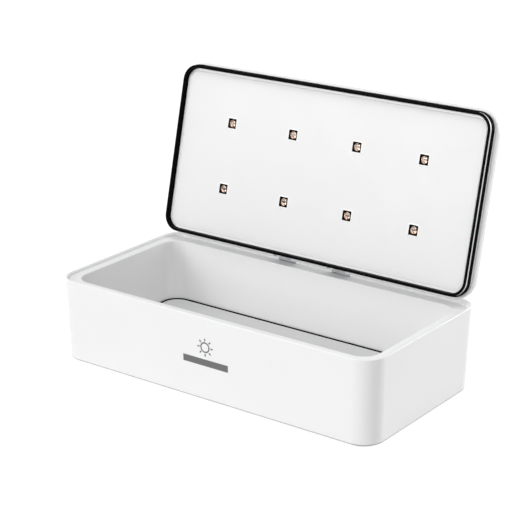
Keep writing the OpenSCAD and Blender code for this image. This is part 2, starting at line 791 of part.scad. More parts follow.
module button_board() {
    color(board_green) opened() translate([0, button_y, button_board_top_z - board_t]) difference() {
        union() {
            translate([-button_board_w/2, -button_board_d/2, 0])
                cube([button_board_w, button_board_d, board_t]);
            translate([indicator_x - 1, -1, board_t - sliver]) cube([2, 2, 0.7]);
        }
        for (s = [-1, 1]) translate([s*button_board_screw_x, 0, -1])
            cylinder(r = screw_r + 0.15, h = board_t + 2);
    }
}

module button_board_screws() {
    color(steel) opened() for (s = [-1, 1])
        screw_up(s*button_board_screw_x, button_y, button_board_top_z - board_t, board_t + board_screw_bite);
}

module indicator_pipe() {
    color([0.9, 0.95, 0.9, 0.7]) opened()
        translate([indicator_x, button_y, button_board_top_z + 0.8])
            cylinder(r = indicator_r, h = button_face_z + 0.1 - button_board_top_z - 0.8);
}

base_shell();
chamber_liner();
floor_panel();
floor_edging();
bottom_cover();
cover_screws();
feet();
power_board();
power_board_screws();
power_socket();
base_magnets();
lid_sensor();
hinge_brackets();
bracket_screws();
hinge_pins();
lid_shell();
lid_frame();
lid_frame_screws();
lid_seal();
lid_panel();
lid_magnets();
lamp_boards();
lamp_board_screws();
lamps();
lamp_frames();
lamp_windows();
button_ring();
power_button();
switch_plunger();
switch_body();
button_board();
button_board_screws();
indicator_pipe();
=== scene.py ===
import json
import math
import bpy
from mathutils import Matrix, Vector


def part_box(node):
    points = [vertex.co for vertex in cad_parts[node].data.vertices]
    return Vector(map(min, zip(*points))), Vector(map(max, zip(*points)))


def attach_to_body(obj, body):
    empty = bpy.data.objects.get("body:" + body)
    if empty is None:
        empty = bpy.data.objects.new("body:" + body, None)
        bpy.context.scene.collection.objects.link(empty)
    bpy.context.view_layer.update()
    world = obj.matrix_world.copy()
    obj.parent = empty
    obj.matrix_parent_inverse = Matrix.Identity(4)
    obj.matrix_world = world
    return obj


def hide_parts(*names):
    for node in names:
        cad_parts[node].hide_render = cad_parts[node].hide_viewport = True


bl_info = {
    "name": "Sterilising box",
    "version": (1, 0, 0),
    "blender": (4, 5, 0),
    "location": "3D View > Sidebar > Box",
    "description": "Builds the finished surfaces of a hinged sterilising box",
    "category": "Object",
}

import bmesh
import bpy
from bpy.props import FloatProperty, FloatVectorProperty, IntProperty, PointerProperty
from mathutils import Matrix, Vector

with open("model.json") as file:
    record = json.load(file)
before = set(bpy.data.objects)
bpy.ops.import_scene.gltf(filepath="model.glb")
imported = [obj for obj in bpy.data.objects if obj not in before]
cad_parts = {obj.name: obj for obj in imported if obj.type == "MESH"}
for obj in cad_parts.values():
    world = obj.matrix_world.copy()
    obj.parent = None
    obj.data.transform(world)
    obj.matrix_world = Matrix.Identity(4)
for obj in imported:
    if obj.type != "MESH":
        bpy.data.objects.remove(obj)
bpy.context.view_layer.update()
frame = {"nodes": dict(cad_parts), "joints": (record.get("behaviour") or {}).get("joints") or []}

MM = 0.001
SHARP_ANGLE = math.radians(34)
BEVEL_ANGLE = math.radians(40)
FINE_EDGE = 0.3 * MM
CORNER_LAYERS = ("outwards", "quarter")
NOISE_LOW, NOISE_HIGH = 0.3, 0.7

lid_joint = next(j for j in frame["joints"] if j["name"] == "lid_hinge")
pin_place = Vector(lid_joint["pos_m"])
open_angle = math.radians(lid_joint["range_deg"][1])
TURN_OPEN = (
    Matrix.Translation(pin_place)
    @ Matrix.Rotation(-open_angle, 4, "X")
    @ Matrix.Translation(-pin_place)
)
TURN_SHUT = TURN_OPEN.inverted()


def corners(points):
    """Lowest and highest corner of some points."""
    low = Vector([min(p[i] for p in points) for i in range(3)])
    high = Vector([max(p[i] for p in points) for i in range(3)])
    return low, high


def shut_points(node):
    """Points of a lid node while the lid is shut."""
    return [TURN_SHUT @ v.co for v in frame["nodes"][node].data.vertices]


def shut_box(node):
    """Lowest and highest corner of a lid node while the lid is shut."""
    return corners(shut_points(node))


def solid_boxes(node, turn=None):
    """Lowest and highest corner of each separate solid of a node, after an optional turn."""
    bm = bmesh.new()
    bm.from_mesh(frame["nodes"][node].data)
    bmesh.ops.remove_doubles(bm, verts=bm.verts, dist=1e-6)
    if turn is not None:
        bmesh.ops.transform(bm, matrix=turn, verts=bm.verts)
    left = set(bm.verts)
    boxes = []
    while left:
        todo = [left.pop()]
        points = []
        while todo:
            v = todo.pop()
            points.append(v.co.copy())
            near = {e.other_vert(v) for e in v.link_edges} & left
            left -= near
            todo.extend(near)
        boxes.append(corners(points))
    bm.free()
    return sorted(boxes, key=lambda box: (round(box[0].y, 4), box[0].x))


shell_low, shell_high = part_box("base_shell")
liner_low, liner_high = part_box("chamber_liner")
floor_low, floor_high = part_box("floor_panel")
edging_low, edging_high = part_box("floor_edging")
cover_low, cover_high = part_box("bottom_cover")
bracket_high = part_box("hinge_brackets")[1]
socket_low, socket_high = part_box("power_socket")
lid_low, lid_high = shut_box("lid_shell")
seal_low, seal_high = shut_box("lid_seal")
panel_low, panel_high = shut_box("lid_panel")
ring_low, ring_high = shut_box("button_ring")
cap_low, cap_high = shut_box("power_button")
pipe_low, pipe_high = shut_box("indicator_pipe")


# Settings


def length_setting(name, description, millimetres):
    """A length that the panel shows."""
    return FloatProperty(
        name=name,
        description=description,
        default=millimetres * MM,
        subtype="DISTANCE",
        unit="LENGTH",
    )


def angle_setting(name, description, degrees):
    """An angle that the panel shows."""
    return FloatProperty(
        name=name,
        description=description,
        default=math.radians(degrees),
        subtype="ANGLE",
        unit="ROTATION",
    )


def colour_setting(name, description, red, green, blue):
    """A colour that the panel shows."""
    return FloatVectorProperty(
        name=name,
        description=description,
        default=(red, green, blue, 1.0),
        subtype="COLOR",
        size=4,
    )


class BoxSizes(bpy.types.PropertyGroup):
    """Sizes of the box's edges and details."""

    corner_radius: length_setting(
        "Corner radius", "Radius of the upright corners of the base and the lid", 14.5
    )
    corner_steps: IntProperty(
        name="Corner steps",
        description="Faces round each upright corner",
        default=18,
        min=4,
        max=48,
    )
    lean: length_setting(
        "Lean", "How far each side of the base leans in from the rim to its lower edge", 1.6
    )
    wall: length_setting("Wall", "Wall thickness of the base and the lid", 2.0)
    rim_round: length_setting("Rim round", "Round on the outer edges of the base", 0.5)
    rim_inner: length_setting("Inner rim edge", "Round on the inner edge of the base's rim", 1.1)
    back_rim: length_setting("Back rim", "Width of the rim along the back of the base", 5.4)
    step_depth: length_setting("Step depth", "Drop from the rim to the ledge", 1.8)
    ledge: length_setting("Ledge", "Width of the ledge at the ends and along the front", 6.4)
    back_ledge: length_setting("Back ledge", "Width of the ledge along the back", 7.6)
    ledge_round: length_setting("Ledge round", "Round on the inner edge of the ledge", 0.8)
    chamber_radius: length_setting(
        "Chamber radius", "Radius of the upright corners of the chamber", 12.0
    )
    liner_wall: length_setting("Liner wall", "Wall thickness of the chamber liner", 2.0)
    lid_round: length_setting("Lid round", "Round from the side of the lid to its top", 6.0)
    lid_edge: length_setting("Lid edge", "Round on the lower edge of the lid's side", 0.7)
    crown_run: length_setting(
        "Crown run", "How far in from its round the top of the lid keeps rising", 45.0
    )
    crown_height: length_setting("Crown height", "Rise of the top of the lid inside its round", 1.8)
    seal_radius: length_setting("Seal radius", "Radius of the corners of the seal's lip", 11.0)
    lip_width: length_setting("Lip width", "Width of the seal's lip", 1.9)
    lip_height: length_setting(
        "Lip height", "Height of the seal's lip, up to the groove above it", 0.7
    )
    # The stripe is a painted highlight along the edge of the seal's lip.
    stripe: length_setting(
        "Stripe", "Width of the pale stripe in the groove above the seal's lip", 1.5
    )
    bead: length_setting("Bead", "How far the upper part of the seal stands out past its lip", 0.4)
    mark_width: length_setting("Mark width", "Width of the grey bar printed on the front", 35.6)
    mark_height: length_setting("Mark height", "Height of the grey bar printed on the front", 4.6)


class BoxColours(bpy.types.PropertyGroup):
    """Colours of the box's finishes."""

    outer_white: colour_setting("Outer white", "Colour of the base's casing", 0.90, 0.90, 0.902)
    lid_white: colour_setting(
        "Lid white", "Colour of the lid's casing and of the button", 0.90, 0.90, 0.902
    )
    liner_white: colour_setting(
        "Liner white", "Colour of the chamber liner and the bottom cover", 0.91, 0.91, 0.912
    )
    panel_white: colour_setting(
        "Panel white", "Colour of the panel inside the lid", 0.80, 0.80, 0.80
    )
    # The panel's border and the seal's stripe take this paler white as a painted highlight.
    trim_white: colour_setting(
        "Trim white",
        "Colour of the panel's border, the lips round the lamps and the seal's stripe",
        0.97,
        0.97,
        0.97,
    )
    floor_grey: colour_setting(
        "Floor grey", "Colour of the plate on the chamber floor", 0.64, 0.64, 0.645
    )
    rubber_black: colour_setting(
        "Rubber black", "Colour of the seal, the edging and the pads", 0.0012, 0.0012, 0.0013
    )
    plastic_black: colour_setting(
        "Plastic black", "Colour of the lamp frames and small inner parts", 0.003, 0.0028, 0.0026
    )
    print_grey: colour_setting("Print grey", "Colour of the printed marks", 0.14, 0.14, 0.142)
    board_green: colour_setting("Board green", "Colour of the circuit boards", 0.03, 0.16, 0.09)
    board_white: colour_setting("Board white", "Colour of the lamp boards", 0.78, 0.79, 0.80)
    steel: colour_setting("Steel", "Colour of the brackets, pins and screws", 0.56, 0.57, 0.59)
    plating: colour_setting(
        "Plating", "Colour of the button's ring, the inlet and the magnets", 0.74, 0.75, 0.77
    )
    copper: colour_setting("Lamp copper", "Colour of the lamps' reflectors", 0.84, 0.60, 0.45)


class StageSettings(bpy.types.PropertyGroup):
    """Camera and light."""

    azimuth: angle_setting(
        "Azimuth", "Direction of the camera, from the front towards the right end", 36.662
    )
    elevation: angle_setting(
        "Elevation", "Height of the camera's direction above the horizon", 19.252
    )
    roll: angle_setting("Roll", "Turn of the camera about its own axis", -0.119)
    distance: length_setting(
        "Distance",
        "Distance of the camera from the plane through the middle of the base",
        1111.59,
    )
    aside: length_setting(
        "Aside", "How far the camera stands to the right of the middle of the base", -5.15
    )
    rise: length_setting(
        "Rise", "How far the camera stands above the line to the middle of the base", 75.08
    )
    lens: FloatProperty(
        name="Lens",
        description="Focal length in millimetres on a 36 mm sensor",
        default=118.09,
    )
    room_light: FloatProperty(
        name="Room light",
        description="Strength of the even light from all sides",
        default=0.37,
    )


def box_sizes():
    return bpy.context.scene.uvbox_sizes


def box_colours():
    return bpy.context.scene.uvbox_colours


# Shapes


def shrunk(low, high, inset):
    """(x, y) corners of a rectangle made smaller on every side."""
    return (low[0] + inset, low[1] + inset), (high[0] - inset, high[1] - inset)


class Loops:
    """A skin that grows loop by loop from a flat rectangle with round corners."""

    def __init__(self, bm, low, high, radius, height, inset=0.0, keep_face=False):
        """The first loop lies in the rectangle from low to high, by inset."""
        low, high = shrunk(low, high, inset)
        self.bm = bm
        layers = bm.verts.layers.float_vector
        if layers.get(CORNER_LAYERS[0]) is None:
            for key in CORNER_LAYERS:
                layers.new(key)
        self.out_layer, self.quarter_layer = (layers[key] for key in CORNER_LAYERS)
        middle = Vector(((low[0] + high[0]) / 2, (low[1] + high[1]) / 2, height))
        half = Vector(((high[0] - low[0]) / 2, (high[1] - low[1]) / 2))
        place = Matrix.Translation(middle) @ Matrix.Diagonal((2 * half.x, 2 * half.y, 1, 1))
        corner_verts = bmesh.ops.create_grid(
            bm, x_segments=1, y_segments=1, size=0.5, matrix=place
        )["verts"]
        made = bmesh.ops.bevel(
            bm,
            geom=corner_verts,
            offset=radius,
            offset_type="OFFSET",
            segments=box_sizes().corner_steps,
            profile=0.5,
            affect="VERTICES",
            clamp_overlap=False,
            material=-1,
        )
        face = made["verts"][0].link_faces[0]
        inner = Vector((half.x - radius, half.y - radius))
        for v in face.verts:
            away = v.co - middle
            quarter = Vector((math.copysign(1, away.x), math.copysign(1, away.y), 0))
            past = [max(abs(away[i]) - inner[i], 0) for i in range(2)]
            bend = Vector((quarter.x * past[0], quarter.y * past[1], 0))
            v[self.out_layer] = bend.normalized()
            v[self.quarter_layer] = quarter
        self.edges = list(face.edges)
        self.first = list(face.edges)
        self.start = (low, high, radius, height)
        if not keep_face:
            bmesh.ops.delete(bm, geom=[face], context="FACES_ONLY")

    def extruded(self):
        """Extrudes the last loop in place and gives the new vertices."""
        made = bmesh.ops.extrude_edge_only(self.bm, edges=self.edges)["geom"]
        fresh = {g for g in made if isinstance(g, bmesh.types.BMVert)}
        self.edges = [
            g for g in made if isinstance(g, bmesh.types.BMEdge) and set(g.verts) <= fresh
        ]
        return fresh

    def step(self, out=0.0, up=0.0, shift=0.0):
        """Adds a loop. out changes the corner radius with the size, and shift keeps it."""
        for v in self.extruded():
            v.co += v[self.out_layer] * out + v[self.quarter_layer] * shift
            v.co.z += up
        return self

    def place(self, low, high, radius, height, inset=0.0):
        """Adds a loop on another rectangle with round corners."""
        low, high = shrunk(low, high, inset)
        middle = Vector(((low[0] + high[0]) / 2, (low[1] + high[1]) / 2, height))
        inner_x = (high[0] - low[0]) / 2 - radius
        inner_y = (high[1] - low[1]) / 2 - radius
        for v in self.extruded():
            quarter = v[self.quarter_layer]
            centre = Vector((quarter.x * inner_x, quarter.y * inner_y, 0))
            v.co = middle + centre + v[self.out_layer] * radius
        return self

    def back(self):
        """Goes on from the first loop."""
        self.edges = self.first
        return self

    def close(self):
        """Joins the last loop to the first one."""
        return self.place(*self.start)

    def arc(self, radius, start, end, steps=6):
        """Adds loops along an arc. 0 degrees points outwards and 90 up."""
        points = rounded_points((0.0, 0.0), radius, start, end, steps)
        for (out_a, up_a), (out_b, up_b) in zip(points, points[1:]):
            self.step(out=out_b - out_a, up=up_b - up_a)
        return self

    def cap(self):
        """Closes the last loop with one flat face."""
        bmesh.ops.contextual_create(self.bm, geom=self.edges)
        return self


def rounded_points(middle, radius, start, end, steps=5):
    """Points of an arc in a profile, as (radius, height)."""
    angles = [math.radians(start + (end - start) * i / steps) for i in range(steps + 1)]
    return [
        (middle[0] + radius * math.cos(a), middle[1] + radius * math.sin(a)) for a in angles
    ]


def turned(bm, profile, middle, steps, closed=True):
    """Spins a profile of (radius, height) points about an upright axis.

    A profile that isn't closed starts and ends on the axis.
    """
    rows = [bm.verts.new((middle[0] + r, middle[1], z)) for r, z in profile]
    ends = rows[1:] + rows[:1] if closed else rows[1:]
    edges = [bm.edges.new((a, b)) for a, b in zip(rows, ends)]
    bmesh.ops.spin(
        bm,
        geom=rows + edges,
        cent=(middle[0], middle[1], 0),
        axis=(0, 0, 1),
        angle=math.tau,
        steps=steps,
        use_merge=True,
        use_duplicate=False,
    )


def block(bm, low, high):
    """Adds a box between two corners."""
    low, high = Vector(low), Vector(high)
    place = Matrix.Translation((low + high) / 2) @ Matrix.Diagonal((*(high - low), 1))
    return bmesh.ops.create_cube(bm, size=1, matrix=place)["verts"]


def cylinder(bm, middle, radius, bottom, top, segments):
    """Adds an upright cylinder between two heights."""
    bmesh.ops.create_cone(
        bm,
        cap_ends=True,
        segments=segments,
        radius1=radius,
        radius2=radius,
        depth=top - bottom,
        matrix=Matrix.Translation((middle[0], middle[1], (bottom + top) / 2)),
    )


def new_object(bm, name):
    """An object in the scene with a bmesh's shape. The bmesh is used up."""
    mesh = bpy.data.meshes.new(name)
    bm.to_mesh(mesh)
    bm.free()
    made = bpy.data.objects.new(name, mesh)
    bpy.context.scene.collection.objects.link(made)
    return made


def smooth(mesh):
    """Smooth shading with sharp lines at the clear edges."""
    mesh.shade_smooth()
    mesh.set_sharp_from_angle(angle=SHARP_ANGLE)


def attach(piece, body, node=None):
    """Puts a piece on its body and hides the CAD node it replaces."""
    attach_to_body(piece, body)
    if node is not None:
        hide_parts(node)


def finish_piece(bm, name, body, material, node=None, place=None, flat=False):
    """Makes a bmesh into a piece that rides on a body."""
    for key in CORNER_LAYERS:
        layer = bm.verts.layers.float_vector.get(key)
        if layer is not None:
            bm.verts.layers.float_vector.remove(layer)
    bmesh.ops.remove_doubles(bm, verts=bm.verts, dist=1e-7)
    bmesh.ops.recalc_face_normals(bm, faces=bm.faces)
    if place is not None:
        bmesh.ops.transform(bm, matrix=place, verts=bm.verts)
    piece = new_object(bm, name)
    piece.data.materials.append(material)
    if not flat:
        smooth(piece.data)
        even = piece.modifiers.new("Even normals", "WEIGHTED_NORMAL")
        even.keep_sharp = True
        even.weight = 80
    attach(piece, body, node)
    return piece


def finish_in_lid(bm, name, material, node=None, body="lid"):
    """Makes a bmesh that is drawn in the shut lid into a piece of the open one."""
    return finish_piece(bm, name, body, material, node, place=TURN_OPEN)


def cut(piece, cutter_bm):
    """Cuts a bmesh out of a piece and leaves no modifier behind."""
    bmesh.ops.recalc_face_normals(cutter_bm, faces=cutter_bm.faces)
    cutter = new_object(cutter_bm, "cutter")
    boolean = piece.modifiers.new("Cut", "BOOLEAN")
    boolean.operation = "DIFFERENCE"
    boolean.solver = "EXACT"
    boolean.object = cutter
    for other in [m for m in piece.modifiers if m != boolean]:
        other.show_viewport = False
    graph = bpy.context.evaluated_depsgraph_get()
    result = bpy.data.meshes.new_from_object(piece.evaluated_get(graph))
    piece.modifiers.remove(boolean)
    for other in piece.modifiers:
        other.show_viewport = True
    old, cutter_mesh = piece.data, cutter.data
    piece.data = result
    result.name = piece.name
    bpy.data.meshes.remove(old)
    bpy.data.objects.remove(cutter)
    bpy.data.meshes.remove(cutter_mesh)
    smooth(result)


def softened(node, body, material, width, steps=2):
    """A CAD node's own shape with its edges rounded, in place of the node."""
    bm = bmesh.new()
    bm.from_mesh(frame["nodes"][node].data)
    bmesh.ops.remove_doubles(bm, verts=bm.verts, dist=1e-6)
    bmesh.ops.dissolve_limit(
        bm, angle_limit=math.radians(1), verts=bm.verts, edges=bm.edges, delimit=set()
    )
    piece = new_object(bm, node + "_finished")
    piece.data.materials.clear()
    piece.data.materials.append(material)
    smooth(piece.data)
    edge = piece.modifiers.new("Edges", "BEVEL")
    edge.width = width
    edge.segments = steps
    edge.limit_method = "ANGLE"
    edge.angle_limit = BEVEL_ANGLE
    edge.harden_normals = True
    attach(piece, body, node)


def paint(node, material):
    """Gives a CAD node's own mesh a material."""
    target = frame["nodes"][node]
    for slot in target.material_slots:
        slot.material = material
    if not target.material_slots:
        target.data.materials.append(material)


# Finishes


FINISH_OUTPUTS = (
    ("Colour", "NodeSocketColor"),
    ("Roughness", "NodeSocketFloat"),
    ("Normal", "NodeSocketVector"),
)
COAT = {"Coat Weight": 0.15, "Coat Roughness": 0.2}

# Name: colour, grain scale, relief, (least, most) roughness, tone changes, shader values
MOULDED = {
    "Casing white": ("outer_white", 1800.0, 0.06, (0.30, 0.38), 0.012, COAT),
    "Lid white": ("lid_white", 1800.0, 0.06, (0.30, 0.38), 0.012, COAT),
    "Liner white": ("liner_white", 1500.0, 0.10, (0.42, 0.52), 0.015, {}),
    "Panel white": ("panel_white", 1800.0, 0.05, (0.32, 0.42), 0.012, {}),
    "Trim white": ("trim_white", 1800.0, 0.03, (0.28, 0.36), 0.01, {}),
    "Floor plate": ("floor_grey", 900.0, 0.20, (0.45, 0.60), 0.03, {}),
    "Black rubber": (
        "rubber_black", 2600.0, 0.08, (0.30, 0.42), 0.30, {"Specular IOR Level": 0.02}
    ),
    "Black plastic": (
        "plastic_black", 2200.0, 0.12, (0.30, 0.45), 0.20, {"Specular IOR Level": 0.06}
    ),
    "Printed grey": ("print_grey", 3000.0, 0.05, (0.45, 0.60), 0.05, {}),
    "Board lacquer": ("board_green", 500.0, 0.15, (0.22, 0.38), 0.35, {}),
    "Board white": ("board_white", 700.0, 0.10, (0.30, 0.45), 0.06, {}),
}
# Name: colour, stretch of the lines, relief
METALS = {
    "Brushed steel": ("steel", (0.05, 1.0, 1.0), 0.12),
    "Bright plating": ("plating", (1.0, 0.2, 1.0), 0.04),
    "Lamp copper": ("copper", (1.0, 0.3, 1.0), 0.08),
}
# Name: colour, transmission, IOR, grain scale, grain detail, (least, most) roughness
CLEAR = {
    "Window glass": ((0.98, 0.93, 0.90, 1.0), 1.0, 1.46, 500.0, 3.0, (0.02, 0.08)),
    "Indicator": ((0.80, 0.88, 0.86, 1.0), 0.5, 1.49, 1600.0, 2.0, (0.25, 0.45)),
}


def feed(tree, value, socket):
    """Links a node's output to a socket, or sets the socket to a number."""
    if hasattr(value, "links"):
        tree.links.new(value, socket)
    else:
        socket.default_value = value


def noise(tree, vector, scale, detail, roughness=0.5):
    """A noise texture that reads the given vector."""
    node = tree.nodes.new("ShaderNodeTexNoise")
    node.inputs["Detail"].default_value = detail
    node.inputs["Roughness"].default_value = roughness
    feed(tree, scale, node.inputs["Scale"])
    tree.links.new(vector, node.inputs["Vector"])
    return node.outputs["Fac"]


def ramp(tree, value, low, high, first, last):
    """Maps the range from low to high to the one from first to last."""
    node = tree.nodes.new("ShaderNodeMapRange")
    names = ("Value", "From Min", "From Max", "To Min", "To Max")
    for name, edge in zip(names, (value, low, high, first, last)):
        feed(tree, edge, node.inputs[name])
    return node.outputs["Result"]


def spread(tree, value, first, last):
    """Maps the usual range of a noise texture to the one from first to last."""
    return ramp(tree, value, NOISE_LOW, NOISE_HIGH, first, last)


def calc(tree, operation, first, second):
    """A maths node on two values."""
    node = tree.nodes.new("ShaderNodeMath")
    node.operation = operation
    feed(tree, first, node.inputs[0])
    feed(tree, second, node.inputs[1])
    return node.outputs["Value"]


def dimmed(tree, colour, value):
    """A colour times a value."""
    tone = tree.nodes.new("ShaderNodeHueSaturation")
    tree.links.new(value, tone.inputs["Value"])
    tree.links.new(colour, tone.inputs["Color"])
    return tone.outputs["Color"]


def finish_group(name, inputs):
    """A node group for a finish, and the sockets of its start node."""
    group = bpy.data.node_groups.new(name, "ShaderNodeTree")
    group.interface.new_socket(name="Place", in_out="INPUT", socket_type="NodeSocketVector")
    for label, kind, value in inputs:
        socket = group.interface.new_socket(name=label, in_out="INPUT", socket_type=kind)
        socket.default_value = value
    for label, kind in FINISH_OUTPUTS:
        group.interface.new_socket(name=label, in_out="OUTPUT", socket_type=kind)
    return group, group.nodes.new("NodeGroupInput").outputs


def close_group(group, start, value, roughness, height, distance):
    """Sets what a finish gives: a dimmed colour, the roughness and a bumped normal."""
    bump = group.nodes.new("ShaderNodeBump")
    bump.inputs["Distance"].default_value = distance
    group.links.new(start["Relief"], bump.inputs["Strength"])
    group.links.new(height, bump.inputs["Height"])
    end = group.nodes.new("NodeGroupOutput").inputs
    group.links.new(dimmed(group, start["Colour"], value), end["Colour"])
    group.links.new(roughness, end["Roughness"])
    group.links.new(bump.outputs["Normal"], end["Normal"])


def moulded_group():
    """Fine tool grain, slow tone changes and uneven gloss of moulded plastic or rubber."""
    if "Moulded finish" in bpy.data.node_groups:
        return bpy.data.node_groups["Moulded finish"]
    group, start = finish_group(
        "Moulded finish",
        (
            ("Colour", "NodeSocketColor", (0.8, 0.8, 0.8, 1.0)),
            ("Grain", "NodeSocketFloat", 1500.0),
            ("Relief", "NodeSocketFloat", 0.1),
            ("Least roughness", "NodeSocketFloat", 0.3),
            ("Most roughness", "NodeSocketFloat", 0.4),
            ("Tone", "NodeSocketFloat", 0.02),
        ),
    )
    place = start["Place"]
    slow = noise(group, place, 14.0, detail=2.0)
    patches = noise(group, place, 60.0, detail=4.0, roughness=0.6)
    grain = noise(group, place, start["Grain"], detail=2.0)
    value = spread(group, slow, calc(group, "SUBTRACT", 1.0, start["Tone"]), 1.0)
    roughness = spread(group, patches, start["Least roughness"], start["Most roughness"])
    close_group(group, start, value, roughness, grain, distance=0.03 * MM)
    return group


def brushed_group():
    """Fine parallel lines of brushed or drawn metal."""
    if "Brushed lines" in bpy.data.node_groups:
        return bpy.data.node_groups["Brushed lines"]
    group, start = finish_group(
        "Brushed lines",
        (
            ("Colour", "NodeSocketColor", (0.6, 0.6, 0.6, 1.0)),
            ("Stretch", "NodeSocketVector", (1.0, 1.0, 0.04)),
            ("Relief", "NodeSocketFloat", 0.1),
        ),
    )
    stretch = group.nodes.new("ShaderNodeVectorMath")
    stretch.operation = "MULTIPLY"
    group.links.new(start["Place"], stretch.inputs[0])
    group.links.new(start["Stretch"], stretch.inputs[1])
    lines = noise(group, stretch.outputs["Vector"], 4200.0, detail=3.0)
    value = spread(group, lines, 0.86, 1.06)
    roughness = spread(group, lines, 0.24, 0.40)
    close_group(group, start, value, roughness, lines, distance=0.02 * MM)
    return group


def plain_material(name):
    """A material with its Principled shader and object coordinates."""
    material = bpy.data.materials.new(name)
    material.use_nodes = True
    tree = material.node_tree
    place = tree.nodes.new("ShaderNodeTexCoord").outputs["Object"]
    return material, tree, tree.nodes["Principled BSDF"], place


def grouped_material(name, group, values, shader_values):
    """A material whose colour, roughness and normal come from a node group."""
    material, tree, shader, place = plain_material(name)
    finish = tree.nodes.new("ShaderNodeGroup")
    finish.node_tree = group
    tree.links.new(place, finish.inputs["Place"])
    for socket, value in values.items():
        finish.inputs[socket].default_value = value
    for output, socket in (
        ("Colour", "Base Color"),
        ("Roughness", "Roughness"),
        ("Normal", "Normal"),
    ):
        tree.links.new(finish.outputs[output], shader.inputs[socket])
    for socket, value in shader_values.items():
        shader.inputs[socket].default_value = value
    return material


def moulded(name):
    """A moulded plastic or rubber, or a lacquer or print on it."""
    if name in bpy.data.materials:
        return bpy.data.materials[name]
    colour, grain, relief, (least, most), tone, shader_values = MOULDED[name]
    values = {
        "Colour": tuple(getattr(box_colours(), colour)),
        "Grain": grain,
        "Relief": relief,
        "Least roughness": least,
        "Most roughness": most,
        "Tone": tone,
    }
    return grouped_material(name, moulded_group(), values, shader_values)


def metal(name):
    """A brushed or plated metal."""
    if name in bpy.data.materials:
        return bpy.data.materials[name]
    colour, stretch, relief = METALS[name]
    values = {
        "Colour": tuple(getattr(box_colours(), colour)),
        "Stretch": stretch,
        "Relief": relief,
    }
    return grouped_material(name, brushed_group(), values, {"Metallic": 1.0})


def clear(name):
    """A clear or frosted material with faint smudges."""
    if name in bpy.data.materials:
        return bpy.data.materials[name]
    material, tree, shader, place = plain_material(name)
    colour, transmission, ior, scale, detail, (least, most) = CLEAR[name]
    shader.inputs["Base Color"].default_value = colour
    shader.inputs["Transmission Weight"].default_value = transmission
    shader.inputs["IOR"].default_value = ior
    smudge = noise(tree, place, scale, detail)
    tree.links.new(spread(tree, smudge, least, most), shader.inputs["Roughness"])
    return material


def casing_white_with_painted_shade():
    """The base's white plastic, with painted shade: its colour is darkened just above the ground,
    where little light gets in.
    """
    if "Casing white" in bpy.data.materials:
        return bpy.data.materials["Casing white"]
    material = moulded("Casing white")
    tree = material.node_tree
    shader = tree.nodes["Principled BSDF"]
    colour = shader.inputs["Base Color"].links[0].from_socket
    place = tree.nodes.new("ShaderNodeSeparateXYZ")
    tree.links.new(tree.nodes["Texture Coordinate"].outputs["Object"], place.inputs["Vector"])
    # Painted shade: the colour darkens towards the ground and stands in for the shadow under the
    # base's lower edge.
    first_z, last_z = shell_low.z + 0.3 * MM, shell_low.z + 1.1 * MM
    level = ramp(tree, place.outputs["Z"], first_z, last_z, 0.35, 1.0)
    tree.links.new(dimmed(tree, colour, level), shader.inputs["Base Color"])
    return material


# What pieces take from their neighbours


def bracket_slots(bm, slack, front_y, back_y, low_z, high_z):
    """Adds a block round the place of each hinge bracket, wider by slack."""
    inner_x = min(v.co.x for v in frame["nodes"]["hinge_brackets"].data.vertices if v.co.x > 0)
    width = bracket_high.x - inner_x
    for sign in (-1, 1):
        middle = sign * (bracket_high.x - width / 2)
        block(
            bm,
            (middle - width / 2 - slack, front_y, low_z),
            (middle + width / 2 + slack, back_y, high_z),
        )


def lamp_windows():
    """Middle and radius of each lamp window while the lid is shut."""
    boxes = solid_boxes("lamp_windows", TURN_SHUT)
    return [((low + high) / 2, (high.x - low.x) / 2) for low, high in boxes]


def lamp_frame_side():
    """Side of the visible square of a lamp frame, at its outer end."""
    low, high = solid_boxes("lamp_frames", TURN_SHUT)[0]
    face = [p for p in shut_points("lamp_frames") if p.z < low.z + 0.1 * MM]
    here = [p.x for p in face if low.x <= p.x <= high.x]
    return max(here) - min(here)


def ring_radius():
    """Radius of the button's ring where it passes through the lid."""
    return max(p.x for p in shut_points("button_ring") if p.z > ring_high.z - 0.1 * MM)


def button_middle():
    """(x, y) of the button's axis while the lid is shut."""
    return (0.0, (cap_low.y + cap_high.y) / 2)


def button_cap_radius():
    """Radius of the button's cap above its flange."""
    return cap_high.x - 1.2 * MM


# Pieces


